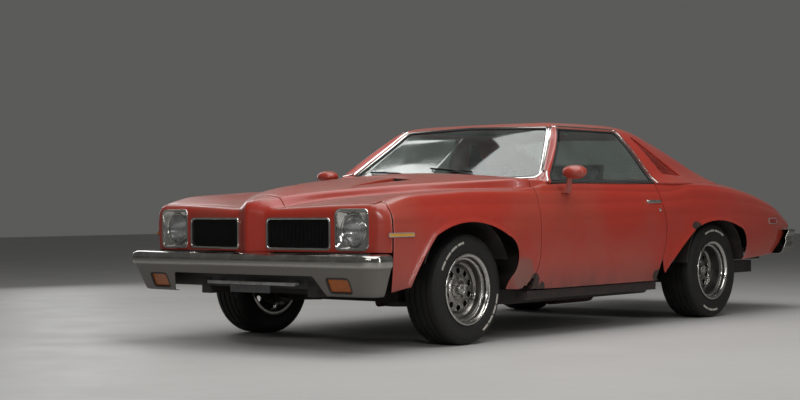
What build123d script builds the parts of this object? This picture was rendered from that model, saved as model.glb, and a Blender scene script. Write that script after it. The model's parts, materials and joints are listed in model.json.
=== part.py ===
from build123d import *
import os
from collections import namedtuple
from math import cos, radians, sin

os.makedirs("parts", exist_ok=True)

# Millimetres. +Z is up, the nose points to -Y and the car's left side is +X.
# The origin is on the ground under the middle of the car.

# Driving dimensions
LENGTH = 5268
HALF_LENGTH = LENGTH / 2
WIDTH = 1974
HALF_WIDTH = WIDTH / 2
FRONT_AXLE_Y = -1624
REAR_AXLE_Y = 1221
FRONT_HUB_Z = 322
REAR_HUB_Z = 335
FRONT_WHEEL_X = 782
REAR_WHEEL_X = 757
KINGPIN_X = 655

SKIN = 12
HOOD_THICKNESS = 22
DOOR_THICKNESS = 64
PANEL_GAP = 6
BELT_Z = 955

# Lower body, from nose to tail, half sections seen from the front:
# b rocker edge, m widest line, c shoulder crest, s foot of the raised centre, t its top edge,
# ridge the height on the centre line.
Station = namedtuple("Station", "y b m c s t ridge")
STATIONS = (
    Station(-2560, (885, 553), (930, 700), (850, 800), (96, 784), (72, 800), 816),
    Station(-2400, (905, 553), (940, 718), (872, 818), (160, 800), (124, 848), 868),
    Station(-2345, (921, 332), (943, 717), (877, 832), (184, 812), (155, 864), 886),
    Station(-2150, (922, 330), (948, 716), (885, 872), (278, 846), (262, 892), 930),
    Station(-1624, (930, 320), (952, 708), (900, 898), (549, 892), (530, 936), 977),
    Station(-985, (938, 300), (968, 704), (918, 900), (888, 914), (877, 966), 1018),
    Station(-880, (940, 298), (969, 706), (922, 900), (895, 935), (882, 960), 1018),
    Station(-300, (940, 296), (970, 716), (928, 898), (895, 948), (885, BELT_Z), BELT_Z),
    Station(450, (940, 298), (970, 744), (930, 888), (895, 948), (885, BELT_Z), BELT_Z),
    Station(893, (936, 310), (958, 742), (925, 930), (880, 950), (860, BELT_Z), BELT_Z),
    Station(1221, (930, 340), (948, 736), (920, 918), (850, 948), (800, BELT_Z), BELT_Z),
    Station(1560, (925, 370), (938, 728), (905, 890), (780, 935), (730, 948), 952),
    Station(2141, (872, 430), (890, 700), (850, 795), (720, 850), (690, 866), 880),
    Station(2520, (795, 470), (812, 620), (780, 672), (700, 715), (660, 728), 760),
)

# Greenhouse, from the belt up, half plans: w0 windshield on the centre line, w its corner,
# a pillar's outer face, d door glass, q rear quarter, s end of the sail panel, r0 rear window
# on the centre line.
Tier = namedtuple("Tier", "z w0 w a d q s r0")
TIERS = (
    Tier(BELT_Z, -940, (800, -780), (886, -850), (893, -100), (882, 700), (720, 1490), 1400),
    Tier(1215, -578, (641, -471), (735, -515), (741, -100), (725, 560), (590, 925), 850),
    Tier(1312, -437, (582, -358), (640, -385), (650, -100), (640, 430), (540, 640), 590),
    Tier(1334, -370, (535, -310), (580, -322), (590, -90), (585, 398), (490, 545), 500),
    Tier(1350, -280, (420, -232), (465, -212), (480, -90), (465, 325), (385, 385), 360),
)

# Door outline in side view
DOOR_FRONT_Y = -990
DOOR_REAR_Y = 452
DOOR_BOTTOM_Z = 297
DOOR_INNER_X = 868

# Hood outline in plan
HOOD_FRONT_Y = -2385
HOOD_REAR_Y = -1000
HOOD_REAR_CENTRE_Y = -948
HOOD_EDGE_FRONT_X = 846
HOOD_EDGE_REAR_X = 890

# Trunk lid outline in plan
LID_FRONT_Y = 1505
LID_REAR_Y = 2478
LID_FRONT_X = 690
LID_GAP = 10
LID_REAR_X = 640

# Front face of the nose in plan, from the centre out
NOSE_LINE = (
    (0, -2540),
    (109, -2482),
    (566, -2436),
    (826, -2425),
    (885, -2405),
    (925, -2380),
    (945, -2362),
    (1000, -2362),
)
NOSE_WALL = 26
NOSE_SEAM_Y = -2346


def side_prism(points, x_from, x_to):
    """Prism along X of an outline given as (y, z) points."""
    with BuildPart() as prism:
        with BuildSketch(Plane.YZ.offset(x_from)):
            with BuildLine():
                Polyline(*points, close=True)
            make_face()
        extrude(amount=x_to - x_from)
    return prism.part


def plan_prism(points, z_from, z_to):
    """Prism along Z of an outline given as (x, y) points."""
    with BuildPart() as prism:
        with BuildSketch(Plane.XY.offset(z_from)):
            with BuildLine():
                Polyline(*points, close=True)
            make_face()
        extrude(amount=z_to - z_from)
    return prism.part


def front_prism(points, y_from, y_to):
    """Prism along Y of an outline given as (x, z) points."""
    with BuildPart() as prism:
        with BuildSketch(Plane.XZ.offset(-y_to)):
            with BuildLine():
                Polyline(*points, close=True)
            make_face()
        extrude(amount=y_to - y_from)
    return prism.part


def block(x, y, z):
    """Box between two limits on each axis."""
    with BuildPart() as box:
        with Locations(((x[0] + x[1]) / 2, (y[0] + y[1]) / 2, (z[0] + z[1]) / 2)):
            Box(x[1] - x[0], y[1] - y[0], z[1] - z[0])
    return box.part


def body_half(inset):
    """Left half of the lower body, shrunk by an inset and left open below when it is hollow."""
    with BuildPart() as half:
        for row in STATIONS:
            floor_z = row.b[1] - (200 if inset else 0)
            with BuildSketch(Plane.XZ.offset(-row.y)):
                with BuildLine():
                    Polyline(
                        (0, floor_z),
                        (row.b[0] - inset, floor_z),
                        (row.m[0] - inset, row.m[1]),
                        (row.c[0] - inset, row.c[1] - inset),
                        (row.s[0] - inset, row.s[1] - inset),
                        (row.t[0] - inset, row.t[1] - inset),
                        (0, row.ridge - inset),
                        close=True,
                    )
                make_face()
        loft(ruled=True)
    return half.part


def greenhouse_half(inset, drop):
    """Left half of the cabin top, shrunk sideways by an inset and in height by a drop."""
    with BuildPart() as half:
        for tier in TIERS:
            height = tier.z - (drop if tier.z > BELT_Z else 0)
            w_mid = (tier.w[0] * 0.55, tier.w0 + (tier.w[1] - tier.w0) * 0.27 + inset)
            with BuildSketch(Plane.XY.offset(height)):
                with BuildLine():
                    ThreePointArc((0, tier.w0 + inset), w_mid, (tier.w[0] - inset / 2, tier.w[1] + inset))
                    Polyline(
                        (tier.w[0] - inset / 2, tier.w[1] + inset),
                        (tier.a[0] - inset, tier.a[1] + inset),
                        (tier.d[0] - inset, tier.d[1]),
                        (tier.q[0] - inset, tier.q[1]),
                        (tier.s[0] - inset, tier.s[1] - inset),
                        (0, tier.r0 - inset),
                        (0, tier.w0 + inset),
                    )
                make_face()
        loft(ruled=True)
    return half.part


OUTER = body_half(0)
SKIN_CORE = body_half(SKIN)
HOOD_CORE = body_half(HOOD_THICKNESS)
DOOR_CORE = body_half(DOOR_THICKNESS)

PIECES = {}


def keep(name, builder):
    """Remembers a finished piece under its node's name."""
    PIECES[name] = builder


def arch_front():
    """Front wheel opening, cut through the side of the car."""
    axle = FRONT_AXLE_Y
    with BuildPart() as opening:
        with BuildSketch(Plane.YZ.offset(700)):
            with BuildLine():
                ThreePointArc((axle - 640, 200), (axle - 510, 470), (axle - 372, 640))
                ThreePointArc((axle - 372, 640), (axle - 40, 712), (axle + 290, 628))
                ThreePointArc((axle + 290, 628), (axle + 392, 505), (axle + 330, 380))
                Polyline((axle + 330, 380), (axle + 250, 200), (axle - 640, 200))
            make_face()
        extrude(amount=400)
    return opening.part


def arch_rear():
    """Rear wheel opening, cut through the side of the car."""
    axle = REAR_AXLE_Y
    with BuildPart() as opening:
        with BuildSketch(Plane.YZ.offset(700)):
            with BuildLine():
                ThreePointArc((axle - 900, 240), (axle - 640, 470), (axle - 383, 640))
                ThreePointArc((axle - 383, 640), (axle - 60, 690), (axle + 245, 642))
                ThreePointArc((axle + 245, 642), (axle + 360, 540), (axle + 290, 400))
                Polyline((axle + 290, 400), (axle + 200, 240), (axle - 900, 240))
            make_face()
        extrude(amount=400)
    return opening.part


def door_outline(gap):
    """Side view of the door, grown by a gap all round."""
    return (
        (DOOR_FRONT_Y - gap, 1100),
        (DOOR_FRONT_Y - gap, 480),
        (DOOR_FRONT_Y - 72 - 2 * gap, DOOR_BOTTOM_Z - gap),
        (DOOR_REAR_Y - 118, DOOR_BOTTOM_Z - gap),
        (DOOR_REAR_Y - 45 + gap, 440),
        (DOOR_REAR_Y + gap, 560),
        (DOOR_REAR_Y + gap, 660),
        (DOOR_REAR_Y - 38 + gap, 800),
        (DOOR_REAR_Y - 52 + gap, 1100),
    )


# Hood
HOOD_PLAN = (
    (0, HOOD_FRONT_Y),
    (HOOD_EDGE_FRONT_X, HOOD_FRONT_Y + 4),
    (HOOD_EDGE_REAR_X, HOOD_REAR_Y),
    (0, HOOD_REAR_CENTRE_Y),
)
# Sunken duct on each side of the hood, narrow in front and wide at its rear lip
DUCT_X = 300
DUCT_SIDE = ((14, -1960), (30, -1800), (54, -1640), (72, -1500))
DUCT_VIEW = ((-1962, 912), (-1500, 945), (-1500, 1100), (-1962, 1100))
with BuildPart() as hood_duct:
    duct_plan = [(DUCT_X + x, y) for x, y in DUCT_SIDE]
    duct_plan += [(DUCT_X - x, y) for x, y in reversed(DUCT_SIDE)]
    add(plan_prism(duct_plan, 800, 1100))
    add(side_prism(DUCT_VIEW, DUCT_X - 100, DUCT_X + 100), mode=Mode.INTERSECT)
with BuildPart() as hood:
    add(OUTER)
    add(HOOD_CORE, mode=Mode.SUBTRACT)
    add(plan_prism(HOOD_PLAN, 600, 1200), mode=Mode.INTERSECT)
    add(hood_duct.part, mode=Mode.SUBTRACT)
    mirror(about=Plane.YZ)
keep("hood", hood)

# Trunk lid
LID_PLAN = ((0, LID_FRONT_Y), (LID_FRONT_X, LID_FRONT_Y), (LID_REAR_X, LID_REAR_Y), (0, LID_REAR_Y))
with BuildPart() as trunk_lid:
    add(OUTER)
    add(HOOD_CORE, mode=Mode.SUBTRACT)
    add(plan_prism(LID_PLAN, 560, 1200), mode=Mode.INTERSECT)
    mirror(about=Plane.YZ)
keep("trunk_lid", trunk_lid)

# Nose panel with its grille and lamp openings
GRILLE_X = (121, 554)
GRILLE_Z = (574, 734)
LAMP_X = (604, 826)
LAMP_Z = (569, 786)
LAMP_CENTRE = (714, 677)
LAMP_R = 89
NOSE_REAR_Y = HOOD_FRONT_Y - PANEL_GAP
nose_back = ((1000, NOSE_SEAM_Y), (900, NOSE_SEAM_Y), (850, NOSE_REAR_Y), (0, NOSE_REAR_Y))
inner_line = tuple((x, y + NOSE_WALL) for x, y in NOSE_LINE[:-2])
with BuildPart() as nose_half:
    add(OUTER)
    add(plan_prism(NOSE_LINE + nose_back, 553, 1000), mode=Mode.INTERSECT)
with BuildPart() as nose_core:
    add(SKIN_CORE)
    add(plan_prism(inner_line + ((925, -2200), (0, -2200)), 300, 1000), mode=Mode.INTERSECT)
with BuildPart() as nose_panel:
    add(nose_half.part)
    add(nose_core.part, mode=Mode.SUBTRACT)
    with BuildSketch(Plane.XZ.offset(2600)):
        with Locations((sum(GRILLE_X) / 2, sum(GRILLE_Z) / 2)):
            RectangleRounded(GRILLE_X[1] - GRILLE_X[0], GRILLE_Z[1] - GRILLE_Z[0], 18)
        with Locations((sum(LAMP_X) / 2, sum(LAMP_Z) / 2)):
            RectangleRounded(LAMP_X[1] - LAMP_X[0], LAMP_Z[1] - LAMP_Z[0], 30)
    extrude(amount=-225, mode=Mode.SUBTRACT)
    mirror(about=Plane.YZ)
keep("nose_panel", nose_panel)


def nose_y(x):
    """Front face of the nose at a distance from the centre line."""
    for (x0, y0), (x1, y1) in zip(NOSE_LINE, NOSE_LINE[1:]):
        if x <= x1:
            return y0 + (y1 - y0) * (x - x0) / (x1 - x0)
    return NOSE_LINE[-1][1]


# Grille inserts, a dark plate with upright fins behind its face
GRILLE_RECESS = 12
FIN_PITCH = 20
FIN_SLOT = (12, 16)
OPENING_R = 18
with BuildPart() as grilles:
    with BuildSketch(Plane.XZ.offset(2480)):
        with Locations((sum(GRILLE_X) / 2, sum(GRILLE_Z) / 2)):
            RectangleRounded(GRILLE_X[1] - GRILLE_X[0], GRILLE_Z[1] - GRILLE_Z[0], 18)
    extrude(amount=-100)
    front_cut = tuple((x, y + GRILLE_RECESS) for x, y in NOSE_LINE)
    back_cut = tuple((x, y + NOSE_WALL + 8) for x, y in reversed(NOSE_LINE))
    add(plan_prism(front_cut + back_cut, 500, 800), mode=Mode.INTERSECT)
    fin_count = int((GRILLE_X[1] - GRILLE_X[0] - 30) / FIN_PITCH)
    for index in range(fin_count):
        slot_x = GRILLE_X[0] + 20 + (index + 0.5) * FIN_PITCH
        slot_y = nose_y(slot_x)
        with Locations((slot_x, slot_y + GRILLE_RECESS, sum(GRILLE_Z) / 2)):
            Box(*FIN_SLOT, GRILLE_Z[1] - GRILLE_Z[0] - 24, mode=Mode.SUBTRACT)
    mirror(about=Plane.YZ)
keep("grilles", grilles)

# Bright frames round the grilles and lamps
FRAME_WIDTH = 12
BEZEL_PROUD = 7
with BuildPart() as front_trim:
    with BuildSketch(Plane.XZ.offset(2480)):
        with Locations((sum(GRILLE_X) / 2, sum(GRILLE_Z) / 2)):
            RectangleRounded(
                GRILLE_X[1] - GRILLE_X[0] + 2 * FRAME_WIDTH, GRILLE_Z[1] - GRILLE_Z[0] + 2 * FRAME_WIDTH, 28
            )
            RectangleRounded(
                GRILLE_X[1] - GRILLE_X[0], GRILLE_Z[1] - GRILLE_Z[0], 18, mode=Mode.SUBTRACT
            )
    extrude(amount=-80)
    front_cut = tuple((x, y - BEZEL_PROUD) for x, y in NOSE_LINE)
    add(plan_prism(front_cut + tuple(reversed(NOSE_LINE)), 500, 800), mode=Mode.INTERSECT)
    with BuildSketch(Plane.XZ.offset(2436)) as bezel_face:
        with Locations((sum(LAMP_X) / 2, sum(LAMP_Z) / 2)):
            RectangleRounded(LAMP_X[1] - LAMP_X[0], LAMP_Z[1] - LAMP_Z[0], 30)
        with Locations(LAMP_CENTRE):
            Circle(LAMP_R + 4, mode=Mode.SUBTRACT)
    extrude(amount=-40)
    mirror(about=Plane.YZ)
keep("front_trim", front_trim)

# Headlamps, domed glass in a round bowl; rows are y and radius
HEADLAMP_ROWS = (
    (-2428, 0),
    (-2426, 30),
    (-2418, 64),
    (-2404, LAMP_R),
    (-2396, LAMP_R),
    (-2340, 40),
    (-2340, 0),
)
with BuildPart() as headlamps:
    with BuildSketch(Plane.YZ.offset(LAMP_CENTRE[0])):
        with BuildLine():
            Polyline(*[(y, LAMP_CENTRE[1] + radius) for y, radius in HEADLAMP_ROWS], close=True)
        make_face()
    revolve(axis=Axis((LAMP_CENTRE[0], 0, LAMP_CENTRE[1]), (0, 1, 0)))
    mirror(about=Plane.YZ)
keep("headlamps", headlamps)

# Fenders
FENDER_REAR = -997
JAMB_RELIEF = 16
fender_plan = (
    (HOOD_EDGE_FRONT_X + 5, NOSE_SEAM_Y + PANEL_GAP),
    (1100, NOSE_SEAM_Y + PANEL_GAP),
    (1100, FENDER_REAR + 5),
    (HOOD_EDGE_REAR_X + 5, FENDER_REAR + 5),
)
with BuildPart() as jamb_relief:
    add(body_half(4))
    add(side_prism(door_outline(JAMB_RELIEF), 700, 1100), mode=Mode.INTERSECT)
with BuildPart() as fender_left:
    add(OUTER)
    add(SKIN_CORE, mode=Mode.SUBTRACT)
    add(jamb_relief.part, mode=Mode.SUBTRACT)
    add(plan_prism(fender_plan, 100, 1200), mode=Mode.INTERSECT)
    add(arch_front(), mode=Mode.SUBTRACT)
    add(side_prism(door_outline(PANEL_GAP), 700, 1100), mode=Mode.SUBTRACT)
keep("fender_left", fender_left)

# Quarter panels with the thick wall beside the rear seat
QUARTER_FRONT = DOOR_REAR_Y - 150
QUARTER_REAR = 2504
quarter_side = (
    (QUARTER_FRONT, 200),
    (2100, 200),
    (2420, 606),
    (QUARTER_REAR, 612),
    (QUARTER_REAR, 1100),
    (QUARTER_FRONT, 1100),
)
quarter_plan = (
    (LID_FRONT_X + 5, QUARTER_FRONT),
    (1100, QUARTER_FRONT),
    (1100, QUARTER_REAR),
    (LID_REAR_X + 5, QUARTER_REAR),
    (LID_FRONT_X + 5, LID_FRONT_Y),
)
with BuildPart() as quarter_wall:
    add(OUTER)
    add(DOOR_CORE, mode=Mode.SUBTRACT)
    add(block((790, 1100), (QUARTER_FRONT, 760), (660, 1000)), mode=Mode.INTERSECT)
with BuildPart() as quarter_left:
    add(OUTER)
    add(SKIN_CORE, mode=Mode.SUBTRACT)
    add(plan_prism(quarter_plan, 200, 1200), mode=Mode.INTERSECT)
    add(side_prism(quarter_side, 500, 1100), mode=Mode.INTERSECT)
    add(quarter_wall.part)
    add(arch_rear(), mode=Mode.SUBTRACT)
    add(side_prism(door_outline(PANEL_GAP), 700, 1100), mode=Mode.SUBTRACT)
keep("quarter_left", quarter_left)

# Doors
HANDLE = (315, 820)
with BuildPart() as door_left:
    add(OUTER)
    add(DOOR_CORE, mode=Mode.SUBTRACT)
    add(side_prism(door_outline(0), DOOR_INNER_X, 1100), mode=Mode.INTERSECT)
    add(block((800, 1000), (-910, 500), (BELT_Z - 6, 1000)), mode=Mode.SUBTRACT)
    with Locations((955, HANDLE[0], HANDLE[1])):
        Box(26, 180, 22)
keep("door_left", door_left)

# Greenhouse: roof with its pillars and sail panels, windows cut
PILLAR = 46
ROOF_DROP = 34
WINDSHIELD_VIEW = ((0, 968), (778, 985), (575, 1302), (0, 1316))
BACK_LIGHT_VIEW = ((0, 985), (610, 985), (520, 1268), (0, 1280))
SIDE_VIEW = ((-812, BELT_Z - 5), (-392, 1296), (272, 1292), (408, BELT_Z - 5))
SIDE_SECTION = ((838, BELT_Z - 5), (680, 1215), (590, 1300), (1000, 1300), (1000, BELT_Z - 5))
LOUVRE_VIEW = ((445, 1262), (480, 1262), (880, 1000), (600, 1012))


def side_window_region(view):
    """Space of a side window: its side view, kept to the outer wall of the cabin."""
    with BuildPart() as region:
        add(side_prism(view, 500, 1000))
        add(front_prism(SIDE_SECTION, -1000, 700), mode=Mode.INTERSECT)
    return region.part


GREENHOUSE = greenhouse_half(0, 0)
with BuildPart() as roof:
    add(GREENHOUSE)
    add(greenhouse_half(PILLAR, ROOF_DROP), mode=Mode.SUBTRACT)
    add(front_prism(WINDSHIELD_VIEW, -1100, -100), mode=Mode.SUBTRACT)
    add(front_prism(BACK_LIGHT_VIEW, 500, 1600), mode=Mode.SUBTRACT)
    add(side_window_region(SIDE_VIEW), mode=Mode.SUBTRACT)
    add(side_prism(LOUVRE_VIEW, 560, 1000), mode=Mode.SUBTRACT)
    mirror(about=Plane.YZ)
keep("roof", roof)

with BuildPart() as windshield:
    add(greenhouse_half(6, 3))
    add(greenhouse_half(12, 8), mode=Mode.SUBTRACT)
    add(front_prism(WINDSHIELD_VIEW, -1100, -100), mode=Mode.INTERSECT)
    mirror(about=Plane.YZ)
keep("windshield", windshield)

with BuildPart() as rear_window:
    add(greenhouse_half(10, 6))
    add(greenhouse_half(16, 11), mode=Mode.SUBTRACT)
    add(front_prism(BACK_LIGHT_VIEW, 500, 1600), mode=Mode.INTERSECT)
    mirror(about=Plane.YZ)
keep("rear_window", rear_window)

GLASS_VIEW = ((-795, BELT_Z - 5), (-370, 1288), (264, 1284), (398, BELT_Z - 5))
with BuildPart() as door_glass_left:
    add(greenhouse_half(8, 4))
    add(greenhouse_half(14, 4), mode=Mode.SUBTRACT)
    add(side_window_region(GLASS_VIEW), mode=Mode.INTERSECT)
keep("door_glass_left", door_glass_left)

# Louvre panels in the sail panels, sunk plates with blades that follow their rear edge
BLADE_COUNT = 5
BLADE_PITCH = 27
BLADE_WIDTH = 9
BLADE_LENGTH = 480
BLADE_MARGIN = 14
SAIL_X = (560, 1000)
BLADE_RUN = (0.837, -0.548)
blade_start = LOUVRE_VIEW[1]
with BuildPart() as louvre_blades:
    for index in range(BLADE_COUNT):
        shift = BLADE_MARGIN + index * BLADE_PITCH
        near = [(blade_start[0] + BLADE_RUN[1] * shift, blade_start[1] - BLADE_RUN[0] * shift)]
        near.append((near[0][0] + BLADE_RUN[0] * BLADE_LENGTH, near[0][1] + BLADE_RUN[1] * BLADE_LENGTH))
        far = [(y + BLADE_RUN[1] * BLADE_WIDTH, z - BLADE_RUN[0] * BLADE_WIDTH) for y, z in reversed(near)]
        add(side_prism(near + far, *SAIL_X))
with BuildPart() as louvre_frame:
    add(greenhouse_half(3, 3))
    add(greenhouse_half(20, 12), mode=Mode.SUBTRACT)
    add(louvre_blades.part, mode=Mode.INTERSECT)
with BuildPart() as louvres:
    add(greenhouse_half(14, 8))
    add(greenhouse_half(20, 12), mode=Mode.SUBTRACT)
    add(louvre_frame.part)
    add(side_prism(LOUVRE_VIEW, *SAIL_X), mode=Mode.INTERSECT)
    mirror(about=Plane.YZ)
keep("louvres", louvres)

# Door mirrors, bullet shells on a sloped foot seated on the door; rows are y, half width and half height
MIRROR_CENTRE = (1030, 1008)
MIRROR_SIDES = 20
MIRROR_ROWS = ((-796, 24, 15), (-784, 50, 30), (-762, 70, 40), (-742, 78, 43), (-706, 78, 43))
MIRROR_FOOT_X = (950, 985)
MIRROR_PAD = ((915, 985), (-738, -652), (878, 900))
MIRROR_FOOT = ((-760, 975), (-715, 975), (-660, 893), (-730, 893))
with BuildPart() as mirror_left:
    for row_y, half_wide, half_high in MIRROR_ROWS:
        with BuildSketch(Plane.XZ.offset(-row_y)):
            with BuildLine():
                Polyline(
                    *[
                        (
                            MIRROR_CENTRE[0] + half_wide * cos(radians(360 * k / MIRROR_SIDES)),
                            MIRROR_CENTRE[1] + half_high * sin(radians(360 * k / MIRROR_SIDES)),
                        )
                        for k in range(MIRROR_SIDES)
                    ],
                    close=True,
                )
            make_face()
    loft(ruled=True)
    add(side_prism(MIRROR_FOOT, *MIRROR_FOOT_X))
    add(block(*MIRROR_PAD))
    add(OUTER, mode=Mode.SUBTRACT)
keep("mirror_left", mirror_left)

# Front bumper
BUMPER_TOP = 546
BLADE_BOTTOM = 468
BUMPER_BOTTOM = 315
BUMPER_END_Y = -2346
BUMPER_WING = 54
BUMPER_CORNER = (887, -2580)
BUMPER_CORNER_MID = (958, -2551)
BUMPER_CORNER_END_Y = -2480


def bumper_plan(inset, back_y):
    """Plan of the front bumper: bowed face, round corners, closed across the back."""
    face_x, face_y = BUMPER_CORNER[0] - inset / 2, BUMPER_CORNER[1] + inset
    mid_x, mid_y = BUMPER_CORNER_MID[0] - inset, BUMPER_CORNER_MID[1] + inset
    side_x = HALF_WIDTH - inset
    side_y = back_y - BUMPER_WING
    with BuildSketch() as plan:
        with BuildLine():
            ThreePointArc((-face_x, face_y), (0, -HALF_LENGTH + inset), (face_x, face_y))
            ThreePointArc((face_x, face_y), (mid_x, mid_y), (side_x, BUMPER_CORNER_END_Y))
            Polyline(
                (side_x, BUMPER_CORNER_END_Y),
                (side_x, side_y),
                (880 - inset, back_y),
                (inset - 880, back_y),
                (-side_x, side_y),
                (-side_x, BUMPER_CORNER_END_Y),
            )
            ThreePointArc((-side_x, BUMPER_CORNER_END_Y), (-mid_x, mid_y), (-face_x, face_y))
        make_face()
    return plan.sketch


TURN_LAMP = (722, 374)
NOTCH_VIEW = ((-610, 300), (-552, 422), (552, 422), (610, 300))
TURN_LAMP_Y = -2528
with BuildPart() as front_bumper:
    with BuildSketch(Plane.XY.offset(BLADE_BOTTOM)):
        add(bumper_plan(0, BUMPER_END_Y))
    extrude(amount=BUMPER_TOP - BLADE_BOTTOM)
    with BuildSketch(Plane.XY.offset(BLADE_BOTTOM)):
        add(bumper_plan(18, BUMPER_END_Y))
    extrude(amount=BLADE_BOTTOM - BUMPER_BOTTOM, taper=22, dir=(0, 0, -1))
    with BuildSketch(Plane.XY.offset(BLADE_BOTTOM)):
        add(bumper_plan(28, BUMPER_END_Y + 200))
    extrude(amount=BUMPER_TOP - BLADE_BOTTOM - 10, mode=Mode.SUBTRACT)
    with BuildSketch(Plane.XY.offset(BLADE_BOTTOM)):
        add(bumper_plan(28, BUMPER_END_Y + 200))
    extrude(amount=BLADE_BOTTOM - BUMPER_BOTTOM + 5, taper=22, dir=(0, 0, -1), mode=Mode.SUBTRACT)
    with BuildSketch(Plane.XZ.offset(2700)):
        with BuildLine():
            Polyline(*NOTCH_VIEW, close=True)
        make_face()
        with Locations((TURN_LAMP[0], TURN_LAMP[1]), (-TURN_LAMP[0], TURN_LAMP[1])):
            RectangleRounded(156, 84, 12)
    extrude(amount=-300, mode=Mode.SUBTRACT)
keep("front_bumper", front_bumper)

with BuildPart() as turn_lamps:
    with BuildSketch(Plane.XZ.offset(-TURN_LAMP_Y)):
        with Locations((TURN_LAMP[0], TURN_LAMP[1]), (-TURN_LAMP[0], TURN_LAMP[1])):
            RectangleRounded(156, 84, 12)
    extrude(amount=-52)
keep("turn_lamps", turn_lamps)

# Plate bracket under the front bumper, with two plate holes
PLATE_HOLE_SPACING = 178
PLATE_HALF = 160
BRACKET_HALF = 350
BRACKET_Z = (362, 380)
with BuildPart() as plate_bracket:
    add(block((-BRACKET_HALF, BRACKET_HALF), (-2506, -2492), BRACKET_Z))
    add(block((-PLATE_HALF, PLATE_HALF), (-2506, -2500), (318, 400)))
    for side in (1, -1):
        foot = sorted((side * (BRACKET_HALF - 50), side * (BRACKET_HALF - 20)))
        add(block(tuple(foot), (-2500, -2440), BRACKET_Z))
    with BuildSketch(Plane.XZ.offset(2520)):
        with Locations((-PLATE_HOLE_SPACING / 2, 390), (PLATE_HOLE_SPACING / 2, 390)):
            Circle(3.5)
    extrude(amount=-40, mode=Mode.SUBTRACT)
keep("plate_bracket", plate_bracket)

# Rear bumper, slanted bar that wraps round the corners
REAR_BAR_LOW = 425
REAR_BAR_HIGH = 608
REAR_BAR_WALL = 28
REAR_BAR_LEAN = 150


def rear_bar_plan(inset, lift, end_y):
    """Plan of the rear bumper at a height, given as a share of its lean from the top."""
    centre_y = HALF_LENGTH - inset - lift * 60
    corner_y = 2548 - inset - lift * 60
    with BuildSketch() as plan:
        with BuildLine():
            ThreePointArc((-770 + inset, corner_y), (0, centre_y), (770 - inset, corner_y))
            ThreePointArc((770 - inset, corner_y), (888 - inset, corner_y - 78), (915 - inset, end_y))
            Line((915 - inset, end_y), (-915 + inset, end_y))
            ThreePointArc((-915 + inset, end_y), (-888 + inset, corner_y - 78), (-770 + inset, corner_y))
        make_face()
    return plan.sketch


with BuildPart() as rear_bumper:
    with BuildSketch(Plane.XY.offset(REAR_BAR_LOW)):
        add(rear_bar_plan(0, 1, 2330 - REAR_BAR_LEAN))
    with BuildSketch(Plane.XY.offset(REAR_BAR_HIGH)):
        add(rear_bar_plan(0, 0, 2330))
    loft(ruled=True)
    with BuildSketch(Plane.XY.offset(REAR_BAR_LOW)):
        add(rear_bar_plan(REAR_BAR_WALL, 1, 2050))
    with BuildSketch(Plane.XY.offset(REAR_BAR_HIGH)):
        add(rear_bar_plan(REAR_BAR_WALL, 0, 2050))
    loft(ruled=True, mode=Mode.SUBTRACT)
keep("rear_bumper", rear_bumper)

# Tail panel and the deck strip between rear window and lid
TAIL_Y = 2486
TAIL_THICKNESS = 14
with BuildPart() as tail_panel:
    add(SKIN_CORE)
    add(block((-1000, 1000), (TAIL_Y, TAIL_Y + TAIL_THICKNESS), (613, 900)), mode=Mode.INTERSECT)
    mirror(about=Plane.YZ)
keep("tail_panel", tail_panel)

DECK_FRONT_Y = 1352
with BuildPart() as deck_strip:
    add(block((-LID_FRONT_X, LID_FRONT_X), (DECK_FRONT_Y, LID_FRONT_Y - LID_GAP), (BELT_Z - 16, BELT_Z)))
keep("deck_strip", deck_strip)

# Tail lamps, wide boxes on the tail panel
TAIL_LAMP = (500, 652)
TAIL_LAMP_SIZE = (400, 22, 70)
with BuildPart() as tail_lamps:
    for side in (1, -1):
        with Locations((side * TAIL_LAMP[0], TAIL_Y + TAIL_THICKNESS + TAIL_LAMP_SIZE[1] / 2, TAIL_LAMP[1])):
            Box(*TAIL_LAMP_SIZE)
keep("tail_lamps", tail_lamps)

# Cowl strip between hood and windshield
COWL_HALF = ((836, -972), (836, -800), (800, -770), (400, -870), (0, -925))
with BuildPart() as cowl_panel:
    add(plan_prism(COWL_HALF + ((0, -972),), BELT_Z - 15, BELT_Z))
    mirror(about=Plane.YZ)
keep("cowl_panel", cowl_panel)

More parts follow.
